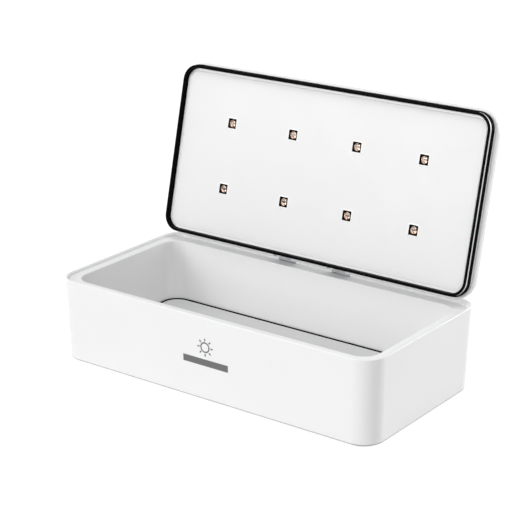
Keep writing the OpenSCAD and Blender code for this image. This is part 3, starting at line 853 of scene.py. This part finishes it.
class UVBOX_OT_base_casing(bpy.types.Operator):
    """Outer casing of the base, with its rim, hinge slots and inlet slot."""

    bl_idname = "uvbox.base_casing"
    bl_label = "Base casing"

    def execute(self, context):
        s = box_sizes()
        low, high = shell_low, shell_high
        flange_z = high.z - s.step_depth - s.liner_wall
        bm = bmesh.new()
        side = Loops(
            bm, low, high, s.corner_radius - s.rim_round, low.z, inset=s.lean + s.rim_round
        )
        side.arc(s.rim_round, -90, 0)
        side.step(up=high.z - low.z - 2 * s.rim_round, shift=s.lean)
        side.arc(s.rim_round, 0, 90)

        rim_in = s.wall - s.rim_inner
        side.place(
            (low.x + rim_in, low.y + rim_in),
            (high.x - rim_in, high.y - s.back_rim + s.rim_inner),
            s.corner_radius - rim_in,
            high.z,
        )
        side.arc(s.rim_inner, 90, 180, steps=5)
        side.step(up=flange_z - high.z + s.rim_inner)

        shoulder = 1.2 * MM
        thick = s.wall + shoulder
        side.place(low, high, s.corner_radius - thick, flange_z, inset=thick)
        side.step(up=cover_high.z - flange_z, shift=-s.lean)
        side.step(out=shoulder)
        side.step(up=low.z - cover_high.z)
        side.close()
        piece = finish_piece(bm, "base_casing", "base", casing_white_with_painted_shade(), "base_shell")

        cutters = bmesh.new()
        slack = 0.15 * MM
        front_y = high.y - s.back_rim - 2 * MM
        bracket_slots(
            cutters, slack, front_y, bracket_high.y + slack, flange_z - 2.5 * MM, high.z + 2 * MM
        )
        cut(piece, cutters)
        cut(piece, self.inlet_slot(high.y))
        return {"FINISHED"}

    @staticmethod
    def inlet_slot(back_y):
        """Cutter with round ends for the inlet, through the back wall."""
        cutter = bmesh.new()
        half_height = (socket_high.z - socket_low.z) / 2
        mouth = Loops(
            cutter,
            (socket_low.x, socket_low.z),
            (socket_high.x, socket_high.z),
            half_height + 0.2 * MM,
            0.0,
            inset=-0.3 * MM,
            keep_face=True,
        )
        mouth.step(up=8 * MM).cap()
        stand_up = Matrix.Translation((0, back_y + 1 * MM, 0)) @ Matrix.Rotation(
            math.radians(90), 4, "X"
        )
        bmesh.ops.transform(cutter, matrix=stand_up, verts=cutter.verts)
        return cutter


class UVBOX_OT_chamber(bpy.types.Operator):
    """Chamber liner with its ledge, and the plate and edging on its floor."""

    bl_idname = "uvbox.chamber"
    bl_label = "Chamber"

    def execute(self, context):
        s = box_sizes()
        self.tub(s)
        self.edging(s)
        self.plate(s)
        return {"FINISHED"}

    def tub(self, s):
        """Walls, floor and ledge of the chamber."""
        side = s.wall + s.ledge
        low = (shell_low.x + side, shell_low.y + side)
        high = (shell_high.x - side, shell_high.y - s.back_rim - s.back_ledge)
        wall = s.liner_wall
        under_z = floor_low.z - wall
        bm = bmesh.new()
        skin = Loops(bm, low, high, s.chamber_radius + wall, under_z, inset=-wall, keep_face=True)
        skin.step(up=liner_high.z - wall - under_z)
        skin.place(liner_low, liner_high, s.corner_radius - s.wall, liner_high.z - wall)
        outer_round = 0.2 * MM
        skin.step(up=wall - outer_round).arc(outer_round, 0, 90, steps=3)
        r = s.ledge_round
        skin.place(low, high, s.chamber_radius + r, liner_high.z, inset=-r)
        skin.arc(r, 90, 180)
        fillet = 1.2 * MM
        skin.step(up=floor_low.z + fillet - liner_high.z + r)
        skin.arc(fillet, 0, -90, steps=5)
        skin.cap()
        finish_piece(
            bm, "chamber_tub", "base", moulded("Liner white"), "chamber_liner"
        )

    def edging(self, s):
        """Dark bead round the floor plate."""
        low, high = edging_low, edging_high
        width, edge, play = 1.0 * MM, 0.35 * MM, 0.15 * MM
        bm = bmesh.new()
        ring = Loops(bm, low, high, s.chamber_radius - play, low.z)
        ring.step(up=high.z - low.z - edge).arc(edge, 0, 90, steps=4)
        ring.step(out=2 * edge - width).arc(edge, 90, 180, steps=4)
        ring.step(up=edge + low.z - high.z)
        ring.close()
        finish_piece(
            bm, "floor_edging_bead", "base", moulded("Black rubber"), "floor_edging"
        )

    def plate(self, s):
        """Plate on the chamber floor."""
        low, high = floor_low, floor_high
        inside_edging = 1.2 * MM
        bm = bmesh.new()
        plate = Loops(bm, low, high, s.chamber_radius - inside_edging, low.z, keep_face=True)
        plate.step(up=high.z - low.z - FINE_EDGE).arc(FINE_EDGE, 0, 90, steps=3).cap()
        finish_piece(bm, "floor_plate", "base", moulded("Floor plate"), "floor_panel")


class UVBOX_OT_lid_casing(bpy.types.Operator):
    """Crowned outer casing of the lid, with its hinge notches and button hole."""

    bl_idname = "uvbox.lid_casing"
    bl_label = "Lid casing"

    def execute(self, context):
        s = box_sizes()
        low, high = lid_low, lid_high
        edge = s.lid_edge
        side_top = high.z - s.crown_height - s.lid_round
        bm = bmesh.new()
        skin = Loops(bm, low, high, s.corner_radius - edge, low.z, inset=edge)
        skin.arc(edge, -90, 0, steps=3)
        skin.step(up=side_top - low.z - edge)
        skin.arc(s.lid_round, 0, 90, steps=12)
        self.crown(skin, s)

        inside = s.wall - edge
        skin.back().place(low, high, s.corner_radius - inside, low.z, inset=inside)
        skin.arc(edge, -90, -180, steps=3)
        skin.step(up=side_top - low.z - edge)
        skin.arc(s.lid_round - s.wall, 0, 90, steps=8)
        self.crown(skin, s)
        piece = finish_piece(
            bm, "lid_casing", "lid", moulded("Lid white"), "lid_shell"
        )
        cut(piece, self.openings(low, high))
        piece.data.transform(TURN_OPEN)
        return {"FINISHED"}

    @staticmethod
    def crown(skin, s, steps=9):
        """Loops of the gently rising top, up to its flat middle."""
        for i in range(steps):
            a, b = i / steps, (i + 1) / steps
            rise = s.crown_height * ((1 - a) ** 2 - (1 - b) ** 2)
            skin.step(up=rise, shift=-s.crown_run / steps)
        skin.cap()

    @staticmethod
    def openings(low, high):
        """Cutters for the hinge notches, the button and the indicator."""
        cutters = bmesh.new()
        bracket_slots(
            cutters,
            0.3 * MM,
            pin_place.y - 1.2 * MM,
            high.y + 1 * MM,
            low.z - 2 * MM,
            high.z + 5 * MM,
        )
        ring_hole, pipe_hole, reach = ring_radius() + 0.15 * MM, 1.3 * MM, 8 * MM
        ring_x, y = button_middle()
        pipe_x = (pipe_low.x + pipe_high.x) / 2
        for x, radius in ((ring_x, ring_hole), (pipe_x, pipe_hole)):
            cylinder(cutters, (x, y), radius, high.z - reach, high.z + reach, segments=64)
        return cutters


class UVBOX_OT_lid_seal(bpy.types.Operator):
    """Black rubber seal with its lip, groove and bead."""

    bl_idname = "uvbox.lid_seal"
    bl_label = "Lid seal"

    def execute(self, context):
        s = box_sizes()
        low, high = seal_low, seal_high
        tall = high.z - low.z
        groove, foot, bead_edge = 0.35 * MM, 0.2 * MM, 0.5 * MM
        bm = bmesh.new()
        ring = Loops(bm, low, high, s.seal_radius - s.lip_width, high.z, inset=s.bead + s.lip_width)
        ring.step(up=FINE_EDGE - tall)
        ring.arc(FINE_EDGE, 180, 270, steps=4)
        ring.step(out=s.lip_width - 2 * FINE_EDGE)
        ring.arc(FINE_EDGE, -90, 0, steps=4)
        ring.step(up=s.lip_height - FINE_EDGE)
        ring.step(out=-groove).step(up=s.stripe).step(out=groove)
        ring.step(up=FINE_EDGE)
        ring.arc(s.bead, -90, 0, steps=4)
        ring.step(up=tall - s.lip_height - s.stripe - FINE_EDGE - s.bead - foot - bead_edge)
        ring.arc(foot, 180, 90, steps=4)
        ring.step(up=bead_edge)
        ring.close()
        finish_in_lid(bm, "lid_seal_rubber", moulded("Black rubber"), "lid_seal")
        self.stripe(s, low, high, groove)
        return {"FINISHED"}

    def stripe(self, s, low, high, groove):
        """Painted highlight: a pale stripe in the groove between the seal's two lips, standing in
        for the light caught on the lip's edge.
        """
        bm = bmesh.new()
        bottom = low.z + s.lip_height
        band = Loops(bm, low, high, s.seal_radius - groove, bottom, inset=s.bead + groove)
        proud = 0.27 * MM
        band.step(out=proud).step(up=s.stripe).step(out=-proud).close()
        finish_in_lid(bm, "seal_stripe", moulded("Trim white"))


class UVBOX_OT_lid_panel(bpy.types.Operator):
    """White panel inside the lid, with its lamp windows and a paler border painted as a highlight
    along the seal.
    """

    bl_idname = "uvbox.lid_panel"
    bl_label = "Lid panel"

    def execute(self, context):
        s = box_sizes()
        low, high = panel_low, panel_high
        play, edge, border = 0.15 * MM, 0.25 * MM, 1.5 * MM
        line_w, line_h = 0.16 * MM, 0.24 * MM
        back_z = seal_high.z - 0.65 * MM
        bm = bmesh.new()
        panel = Loops(bm, low, high, s.seal_radius - s.lip_width - play, back_z, keep_face=True)
        panel.step(up=low.z + edge - back_z)
        panel.arc(edge, 0, -90, steps=3)
        panel.step(out=edge - border)
        panel.step(out=-line_w, up=line_h)
        panel.step(out=-line_w)
        panel.step(out=-line_w, up=-line_h)
        panel.cap()
        piece = finish_piece(
            bm, "lid_inner_panel", "lid", moulded("Panel white"), "lid_panel"
        )
        holes = bmesh.new()
        half = lamp_frame_side() / 2 + 0.1 * MM
        for middle, _ in lamp_windows():
            block(
                holes,
                (middle.x - half, middle.y - half, low.z - 2 * MM),
                (middle.x + half, middle.y + half, high.z + 4 * MM),
            )
        cut(piece, holes)
        # Painted highlight: the border along the seal gets the paler trim colour.
        inner_low, inner_high = shrunk(low, high, border)
        piece.data.materials.append(moulded("Trim white"))
        for face in piece.data.polygons:
            at = face.center
            inside = all(inner_low[i] < at[i] < inner_high[i] for i in range(2))
            face.material_index = 0 if inside else 1
        piece.data.transform(TURN_OPEN)
        self.lips(low.z)
        return {"FINISHED"}

    def lips(self, face_z):
        """Low pale lips round the lamp frames."""
        bm = bmesh.new()
        width, tall, corner = 0.8 * MM, 0.18 * MM, 0.4 * MM
        sunk, slope, play = 0.05 * MM, 0.15 * MM, 0.12 * MM
        half = lamp_frame_side() / 2 + play
        for middle, _ in lamp_windows():
            lip = Loops(bm, middle, middle, corner + width, face_z + sunk, inset=-half - width)
            lip.step(up=-sunk - tall / 2)
            lip.step(out=-slope, up=-tall / 2)
            lip.step(out=slope - width)
            lip.step(up=tall + sunk)
            lip.close()
        finish_in_lid(bm, "lamp_lips", moulded("Trim white"))


class UVBOX_OT_lamps(bpy.types.Operator):
    """Square lamp frames, the lamps in them and their round windows."""

    bl_idname = "uvbox.lamps"
    bl_label = "Lamps"

    def execute(self, context):
        frame_low, frame_high = shut_box("lamp_frames")
        window_low, window_high = shut_box("lamp_windows")
        lamp_high = shut_box("lamps")[1]
        side = lamp_frame_side()
        frames, windows, lamps, dies = (bmesh.new() for _ in range(4))
        for middle, radius in lamp_windows():
            self.one_frame(frames, middle, side, radius, frame_low.z, frame_high.z)
            self.one_window(windows, middle, radius, window_low.z, window_high.z)
            self.one_lamp(lamps, middle, radius, window_high.z, lamp_high.z)
            self.one_die(dies, middle, window_high.z + 0.3 * MM, radius)
        black = moulded("Black plastic")
        finish_in_lid(frames, "lamp_bezels", black, "lamp_frames")
        finish_in_lid(
            windows, "lamp_glasses", clear("Window glass"), "lamp_windows"
        )
        finish_in_lid(lamps, "lamp_reflectors", metal("Lamp copper"), "lamps")
        finish_in_lid(dies, "lamp_dies", black)
        return {"FINISHED"}

    def one_frame(self, bm, middle, side, radius, low_z, high_z):
        """A square bezel with rounded edges round a bored seat for the window."""
        edge, bore_edge, corner = 0.35 * MM, 0.2 * MM, 0.5 * MM
        outer = Loops(bm, middle, middle, corner, low_z, inset=edge - side / 2)
        outer.arc(edge, -90, 0, steps=3)
        outer.step(up=high_z - low_z - edge)
        bore = radius + 0.15 * MM
        outer.place(middle, middle, bore, high_z, inset=-bore)
        outer.step(up=low_z - high_z + edge)
        outer.arc(bore_edge, 180, 90, steps=3)
        outer.close()

    def one_window(self, bm, middle, radius, low_z, high_z):
        """A round window, slightly domed outwards."""
        edge, dome = 0.2 * MM, 0.1 * MM
        profile = [(0.0, high_z), (radius, high_z)]
        profile += rounded_points((radius - edge, low_z + edge + dome), edge, 0, -80, steps=4)
        profile += [(radius * 0.5, low_z + 0.2 * dome), (0.0, low_z)]
        turned(bm, profile, middle, steps=40, closed=False)

    def one_lamp(self, bm, middle, radius, low_z, high_z):
        """A shallow reflector dish."""
        rim, lip = radius + 0.1 * MM, 0.15 * MM
        floor_z = low_z + 0.75 * (high_z - low_z)
        profile = [(0.0, high_z), (rim, high_z), (rim, low_z + 0.1 * MM)]
        profile += [(rim - lip, low_z + 0.05 * MM), (radius * 0.55, floor_z), (0.0, floor_z)]
        turned(bm, profile, middle, steps=40, closed=False)

    def one_die(self, bm, middle, z, radius):
        """A dark die on a cross of dark bars."""
        side, bar, reach = 0.24 * radius, 0.07 * radius, 0.93 * radius
        for half_x, half_y, start, end in (
            (side, side, 0.0, 0.4),
            (reach, bar, 0.1, 0.3),
            (bar, reach, 0.12, 0.28),
        ):
            block(
                bm,
                (middle.x - half_x, middle.y - half_y, z + start * MM),
                (middle.x + half_x, middle.y + half_y, z + end * MM),
            )


class UVBOX_OT_button(bpy.types.Operator):
    """Dished button cap with a printed power sign, its plated ring and the indicator."""

    bl_idname = "uvbox.button"
    bl_label = "Button"

    def execute(self, context):
        middle = button_middle()
        dish = 0.4 * MM
        self.cap(middle, dish)
        self.ring(middle)
        self.sign(middle, cap_high.z - dish)
        self.pipe()
        return {"FINISHED"}

    def cap(self, middle, dish):
        """The cap with its flange and dished top."""
        flange_r, radius = cap_high.x, button_cap_radius()
        edge, flange_h, rings = 0.6 * MM, 0.6 * MM, 8
        top = cap_high.z
        flange_top = cap_low.z + flange_h
        profile = [(0.0, cap_low.z), (flange_r, cap_low.z), (flange_r, flange_top)]
        profile += [(radius, flange_top)]
        profile += rounded_points((radius - edge, top - edge), edge, 0, 90, steps=6)
        for i in range(1, rings):
            share = 1 - i / rings
            profile.append(((radius - edge) * share, top - dish * (1 - share**2)))
        profile.append((0.0, top - dish))
        bm = bmesh.new()
        turned(bm, profile, middle, steps=72, closed=False)
        finish_in_lid(
            bm, "button_cap", moulded("Lid white"), "power_button", body="button"
        )

    def ring(self, middle):
        """The plated ring round the cap."""
        play, edge = 0.3 * MM, 0.45 * MM
        outer, inner = ring_radius(), button_cap_radius() + play
        low, top = ring_low.z, ring_high.z
        seat = low + 1.0 * MM
        flange_r, pocket = ring_high.x, cap_high.x + play
        profile = [(pocket, low), (flange_r, low), (flange_r, seat), (outer, seat)]
        profile += rounded_points((outer - edge, top - edge), edge, 0, 90)
        profile += rounded_points((inner + edge, top - edge), edge, 90, 180)
        profile += [(inner, seat), (pocket, seat)]
        bm = bmesh.new()
        turned(bm, profile, middle, steps=72)
        finish_in_lid(bm, "button_collar", metal("Bright plating"), "button_ring")

    def sign(self, middle, z):
        """A broken ring with an upright stroke, printed in the dish."""
        bm = bmesh.new()
        x, y = middle
        radius, width, lift, depth = 2.6 * MM, 0.55 * MM, 0.05 * MM, 0.1 * MM
        inner, outer = x + radius - width / 2, x + radius + width / 2
        points = ((inner, z - depth), (outer, z - depth), (outer, z + lift), (inner, z + lift))
        profile = bm.faces.new([bm.verts.new((px, y, pz)) for px, pz in points])
        gap = math.radians(64)
        bmesh.ops.rotate(
            bm,
            verts=bm.verts,
            cent=(x, y, 0),
            matrix=Matrix.Rotation(math.radians(-90) + gap / 2, 3, "Z"),
        )
        bmesh.ops.spin(
            bm,
            geom=[profile] + list(profile.edges) + list(profile.verts),
            cent=(x, y, 0),
            axis=(0, 0, 1),
            angle=math.tau - gap,
            steps=40,
            use_duplicate=False,
        )
        block(
            bm,
            (x - width / 2, y - radius - width, z - depth),
            (x + width / 2, y - 0.4 * MM, z + lift),
        )
        finish_in_lid(bm, "power_sign", moulded("Printed grey"), body="button")

    def pipe(self):
        """The indicator's light pipe with its domed end."""
        low, high = pipe_low, pipe_high
        radius = (high.x - low.x) / 2
        edge = 0.35 * MM
        profile = [(0.0, low.z), (radius, low.z)]
        profile += rounded_points((radius - edge, high.z - edge), edge, 0, 70)
        profile.append((0.0, high.z))
        bm = bmesh.new()
        turned(bm, profile, (low + high) / 2, steps=32, closed=False)
        finish_in_lid(bm, "indicator_dot", clear("Indicator"), "indicator_pipe")


class UVBOX_OT_hinges(bpy.types.Operator):
    """Hinge brackets and pins, and the lid's frame, with softened edges."""

    bl_idname = "uvbox.hinges"
    bl_label = "Hinges"

    def execute(self, context):
        steel = metal("Brushed steel")
        softened("hinge_brackets", "base", steel, width=0.25 * MM)
        softened("hinge_pins", "base", steel, width=0.15 * MM)
        softened("lid_frame", "lid", moulded("Liner white"), width=0.12 * MM)
        return {"FINISHED"}


class UVBOX_OT_underside(bpy.types.Operator):
    """Bottom cover, rubber pads, cover screws and inlet."""

    bl_idname = "uvbox.underside"
    bl_label = "Underside"

    def execute(self, context):
        steel, plating = metal("Brushed steel"), metal("Bright plating")
        self.cover(box_sizes())
        softened("feet", "base", moulded("Black rubber"), width=0.25 * MM)
        softened("cover_screws", "base", steel, width=0.1 * MM, steps=1)
        softened("power_socket", "base", plating, width=0.08 * MM)
        return {"FINISHED"}

    def cover(self, s):
        """Plate with soft edges, pockets for the pads and holes for the screws."""
        low, high = cover_low, cover_high
        bm = bmesh.new()
        plate = Loops(
            bm,
            low,
            high,
            s.corner_radius - s.wall - FINE_EDGE,
            low.z,
            inset=FINE_EDGE,
            keep_face=True,
        )
        plate.step(out=FINE_EDGE, up=FINE_EDGE)
        plate.step(up=high.z - low.z - FINE_EDGE)
        plate.cap()
        piece = finish_piece(
            bm, "bottom_plate", "base", moulded("Liner white"), "bottom_cover"
        )
        pockets, holes = bmesh.new(), bmesh.new()
        under_z, faces = low.z - 1 * MM, 48
        pad_play, head_play, head_h = 0.15 * MM, 0.2 * MM, 1.4 * MM
        for pad_low, pad_high in solid_boxes("feet"):
            radius = (pad_high.x - pad_low.x) / 2 + pad_play
            middle = (pad_low + pad_high) / 2
            cylinder(pockets, middle, radius, under_z, pad_high.z, faces)
        for screw_low, screw_high in solid_boxes("cover_screws"):
            middle = (screw_low + screw_high) / 2
            radius = (screw_high.x - screw_low.x) / 2
            cylinder(pockets, middle, radius + head_play, under_z, low.z + head_h, faces)
            cylinder(holes, middle, 0.6 * radius, under_z, high.z + 2 * MM, faces)
        cut(piece, pockets)
        cut(piece, holes)


class UVBOX_OT_inner_parts(bpy.types.Operator):
    """Finishes of the parts inside the casings."""

    bl_idname = "uvbox.inner_parts"
    bl_label = "Inner parts"

    def execute(self, context):
        for material, nodes in (
            (moulded("Board lacquer"), ("power_board", "button_board")),
            (
                metal("Brushed steel"),
                (
                    "power_board_screws",
                    "bracket_screws",
                    "lid_frame_screws",
                    "lamp_board_screws",
                    "button_board_screws",
                ),
            ),
            (metal("Bright plating"), ("base_magnets", "lid_magnets")),
            (moulded("Black plastic"), ("lid_sensor", "switch_body", "switch_plunger")),
            (moulded("Board white"), ("lamp_boards",)),
        ):
            for node in nodes:
                paint(node, material)
        return {"FINISHED"}


class UVBOX_OT_front_mark(bpy.types.Operator):
    """Plain grey sign printed on the front: a ring with short rays over a bar."""

    bl_idname = "uvbox.front_mark"
    bl_label = "Front mark"

    def execute(self, context):
        s = box_sizes()
        thick, bar_top, ring_up = 0.04 * MM, 29.2 * MM, 8.2 * MM
        ring_r, stroke, rays = 3.2 * MM, 0.95 * MM, 8
        ray_start, ray_end = ring_r + 1.1 * MM, ring_r + 2.9 * MM
        bm = bmesh.new()
        half = s.mark_width / 2
        block(bm, (-half, -s.mark_height, -thick), (half, 0, thick))
        inner, outer = ring_r - stroke / 2, ring_r + stroke / 2
        profile = [(inner, -thick), (outer, -thick), (outer, thick), (inner, thick)]
        turned(bm, profile, (0, ring_up), steps=48)
        for i in range(rays):
            ray = block(bm, (ray_start, -stroke / 2, -thick), (ray_end, stroke / 2, thick))
            turn = Matrix.Rotation(i * math.tau / rays, 4, "Z")
            turn = Matrix.Translation((0, ring_up, 0)) @ turn
            bmesh.ops.transform(bm, matrix=turn, verts=ray)
        tall = shell_high.z - shell_low.z
        face_y = shell_low.y + s.lean * (shell_high.z - bar_top) / tall
        upright = math.radians(90) + math.atan2(s.lean, tall)
        place = Matrix.Translation((0, face_y, bar_top)) @ Matrix.Rotation(upright, 4, "X")
        finish_piece(
            bm,
            "front_mark",
            "base",
            moulded("Printed grey"),
            place=place,
            flat=True,
        )
        return {"FINISHED"}


def seen_directly(tree):
    """1 for rays from the camera, for mirror rays and for rays through glass."""
    path = tree.nodes.new("ShaderNodeLightPath")
    direct = calc(tree, "MAXIMUM", path.outputs["Is Camera Ray"], path.outputs["Is Glossy Ray"])
    return calc(tree, "MAXIMUM", direct, path.outputs["Is Transmission Ray"])


def mixed(tree, share, first, second, output):
    """Mixes two shaders into the tree's output."""
    mix = tree.nodes.new("ShaderNodeMixShader")
    tree.links.new(share, mix.inputs["Fac"])
    tree.links.new(first, mix.inputs[1])
    tree.links.new(second, mix.inputs[2])
    tree.links.new(mix.outputs["Shader"], tree.nodes[output].inputs["Surface"])


class UVBOX_OT_stage(bpy.types.Operator):
    """Camera, floor, lamps and world."""

    bl_idname = "uvbox.stage"
    bl_label = "Stage"

    def execute(self, context):
        stage = context.scene.uvbox_stage
        self.camera(stage)
        self.floor()
        self.world(stage)
        for name, place, aim_height, size, power in (
            ("key", (-0.93, -1.8, 0.85), 0.08, 1.1, 20.2),
            ("side", (0.95, 1.65, 0.35), 0.05, 0.8, 21.5),
            ("top", (0.3, -0.6, 1.8), 0.05, 1.2, 13.8),
        ):
            self.soft_lamp(name, place, aim_height, size, power)
        context.scene.view_settings.view_transform = "Standard"
        return {"FINISHED"}

    def camera(self, stage):
        """Camera from its direction, roll and distance to the base."""
        a, e = stage.azimuth, stage.elevation
        back = Vector((math.sin(a) * math.cos(e), -math.cos(a) * math.cos(e), math.sin(e)))
        level_right = Vector((math.cos(a), math.sin(a), 0))
        level_up = back.cross(level_right)
        right = level_right * math.cos(stage.roll) + level_up * math.sin(stage.roll)
        up = back.cross(right)
        place = back * stage.distance + right * stage.aside + up * stage.rise
        place.z += shell_low.z
        camera = bpy.data.objects.new("camera", bpy.data.cameras.new("camera"))
        camera.data.lens = stage.lens
        camera.data.sensor_width = 36.0
        camera.data.clip_start = 0.05
        camera.data.clip_end = 50.0
        turn = Matrix((right, up, back)).transposed().to_4x4()
        camera.matrix_world = Matrix.Translation(place) @ turn
        bpy.context.scene.collection.objects.link(camera)
        bpy.context.scene.camera = camera

    def floor(self):
        """Pale floor that glows for direct rays and keeps the box's shadow."""
        bm = bmesh.new()
        bmesh.ops.create_grid(bm, x_segments=1, y_segments=1, size=4.0)
        floor = new_object(bm, "floor")
        material = bpy.data.materials.new("Studio floor")
        material.use_nodes = True
        tree = material.node_tree
        shader = tree.nodes["Principled BSDF"]
        shader.inputs["Base Color"].default_value = (0.75, 0.75, 0.75, 1.0)
        shader.inputs["Roughness"].default_value = 0.9
        glow = tree.nodes.new("ShaderNodeEmission")
        glow.inputs["Strength"].default_value = 1.4
        share = calc(tree, "MULTIPLY", seen_directly(tree), 0.65)
        mixed(tree, share, shader.outputs["BSDF"], glow.outputs["Emission"], "Material Output")
        floor.data.materials.append(material)

    def world(self, stage):
        """White for direct rays, and the room's even light for all others."""
        world = bpy.data.worlds.new("studio")
        bpy.context.scene.world = world
        world.use_nodes = True
        tree = world.node_tree
        room = tree.nodes["Background"]
        white = tree.nodes.new("ShaderNodeBackground")
        for node, strength in ((room, stage.room_light), (white, 1.0)):
            node.inputs["Color"].default_value = (1.0, 1.0, 1.0, 1.0)
            node.inputs["Strength"].default_value = strength
        shaders = room.outputs["Background"], white.outputs["Background"]
        mixed(tree, seen_directly(tree), *shaders, "World Output")

    def soft_lamp(self, name, place, aim_height, size, power):
        """A square lamp that points at the middle of the box."""
        light = bpy.data.lights.new(name, "AREA")
        light.shape = "SQUARE"
        light.size = size
        light.energy = power
        lamp = bpy.data.objects.new(name, light)
        away = Vector(place) - Vector((0, 0, aim_height))
        turn = away.to_track_quat("Z", "Y").to_matrix().to_4x4()
        lamp.matrix_world = Matrix.Translation(place) @ turn
        bpy.context.scene.collection.objects.link(lamp)


class UVBOX_PT_panel(bpy.types.Panel):
    """Lists the steps that build the box, and its settings."""

    bl_label = "Sterilising box"
    bl_idname = "UVBOX_PT_panel"
    bl_space_type = "VIEW_3D"
    bl_region_type = "UI"
    bl_category = "Box"

    def draw(self, context):
        for operator in OPERATORS:
            self.layout.operator(operator.bl_idname)
        scene = context.scene
        for group in (scene.uvbox_sizes, scene.uvbox_colours, scene.uvbox_stage):
            box = self.layout.box()
            for key in group.__annotations__:
                box.prop(group, key)


OPERATORS = (
    UVBOX_OT_stage,
    UVBOX_OT_base_casing,
    UVBOX_OT_chamber,
    UVBOX_OT_lid_casing,
    UVBOX_OT_lid_seal,
    UVBOX_OT_lid_panel,
    UVBOX_OT_lamps,
    UVBOX_OT_button,
    UVBOX_OT_hinges,
    UVBOX_OT_underside,
    UVBOX_OT_inner_parts,
    UVBOX_OT_front_mark,
)
CLASSES = (BoxSizes, BoxColours, StageSettings) + OPERATORS + (UVBOX_PT_panel,)


def register():
    for cls in CLASSES:
        bpy.utils.register_class(cls)
    bpy.types.Scene.uvbox_sizes = PointerProperty(type=BoxSizes)
    bpy.types.Scene.uvbox_colours = PointerProperty(type=BoxColours)
    bpy.types.Scene.uvbox_stage = PointerProperty(type=StageSettings)


def unregister():
    del bpy.types.Scene.uvbox_stage
    del bpy.types.Scene.uvbox_colours
    del bpy.types.Scene.uvbox_sizes
    for cls in reversed(CLASSES):
        bpy.utils.unregister_class(cls)


def main():
    register()
    bpy.ops.uvbox.stage()
    bpy.ops.uvbox.base_casing()
    bpy.ops.uvbox.chamber()
    bpy.ops.uvbox.lid_casing()
    bpy.ops.uvbox.lid_seal()
    bpy.ops.uvbox.lid_panel()
    bpy.ops.uvbox.lamps()
    bpy.ops.uvbox.button()
    bpy.ops.uvbox.hinges()
    bpy.ops.uvbox.underside()
    bpy.ops.uvbox.inner_parts()
    bpy.ops.uvbox.front_mark()


if __name__ == "__main__":
    main()
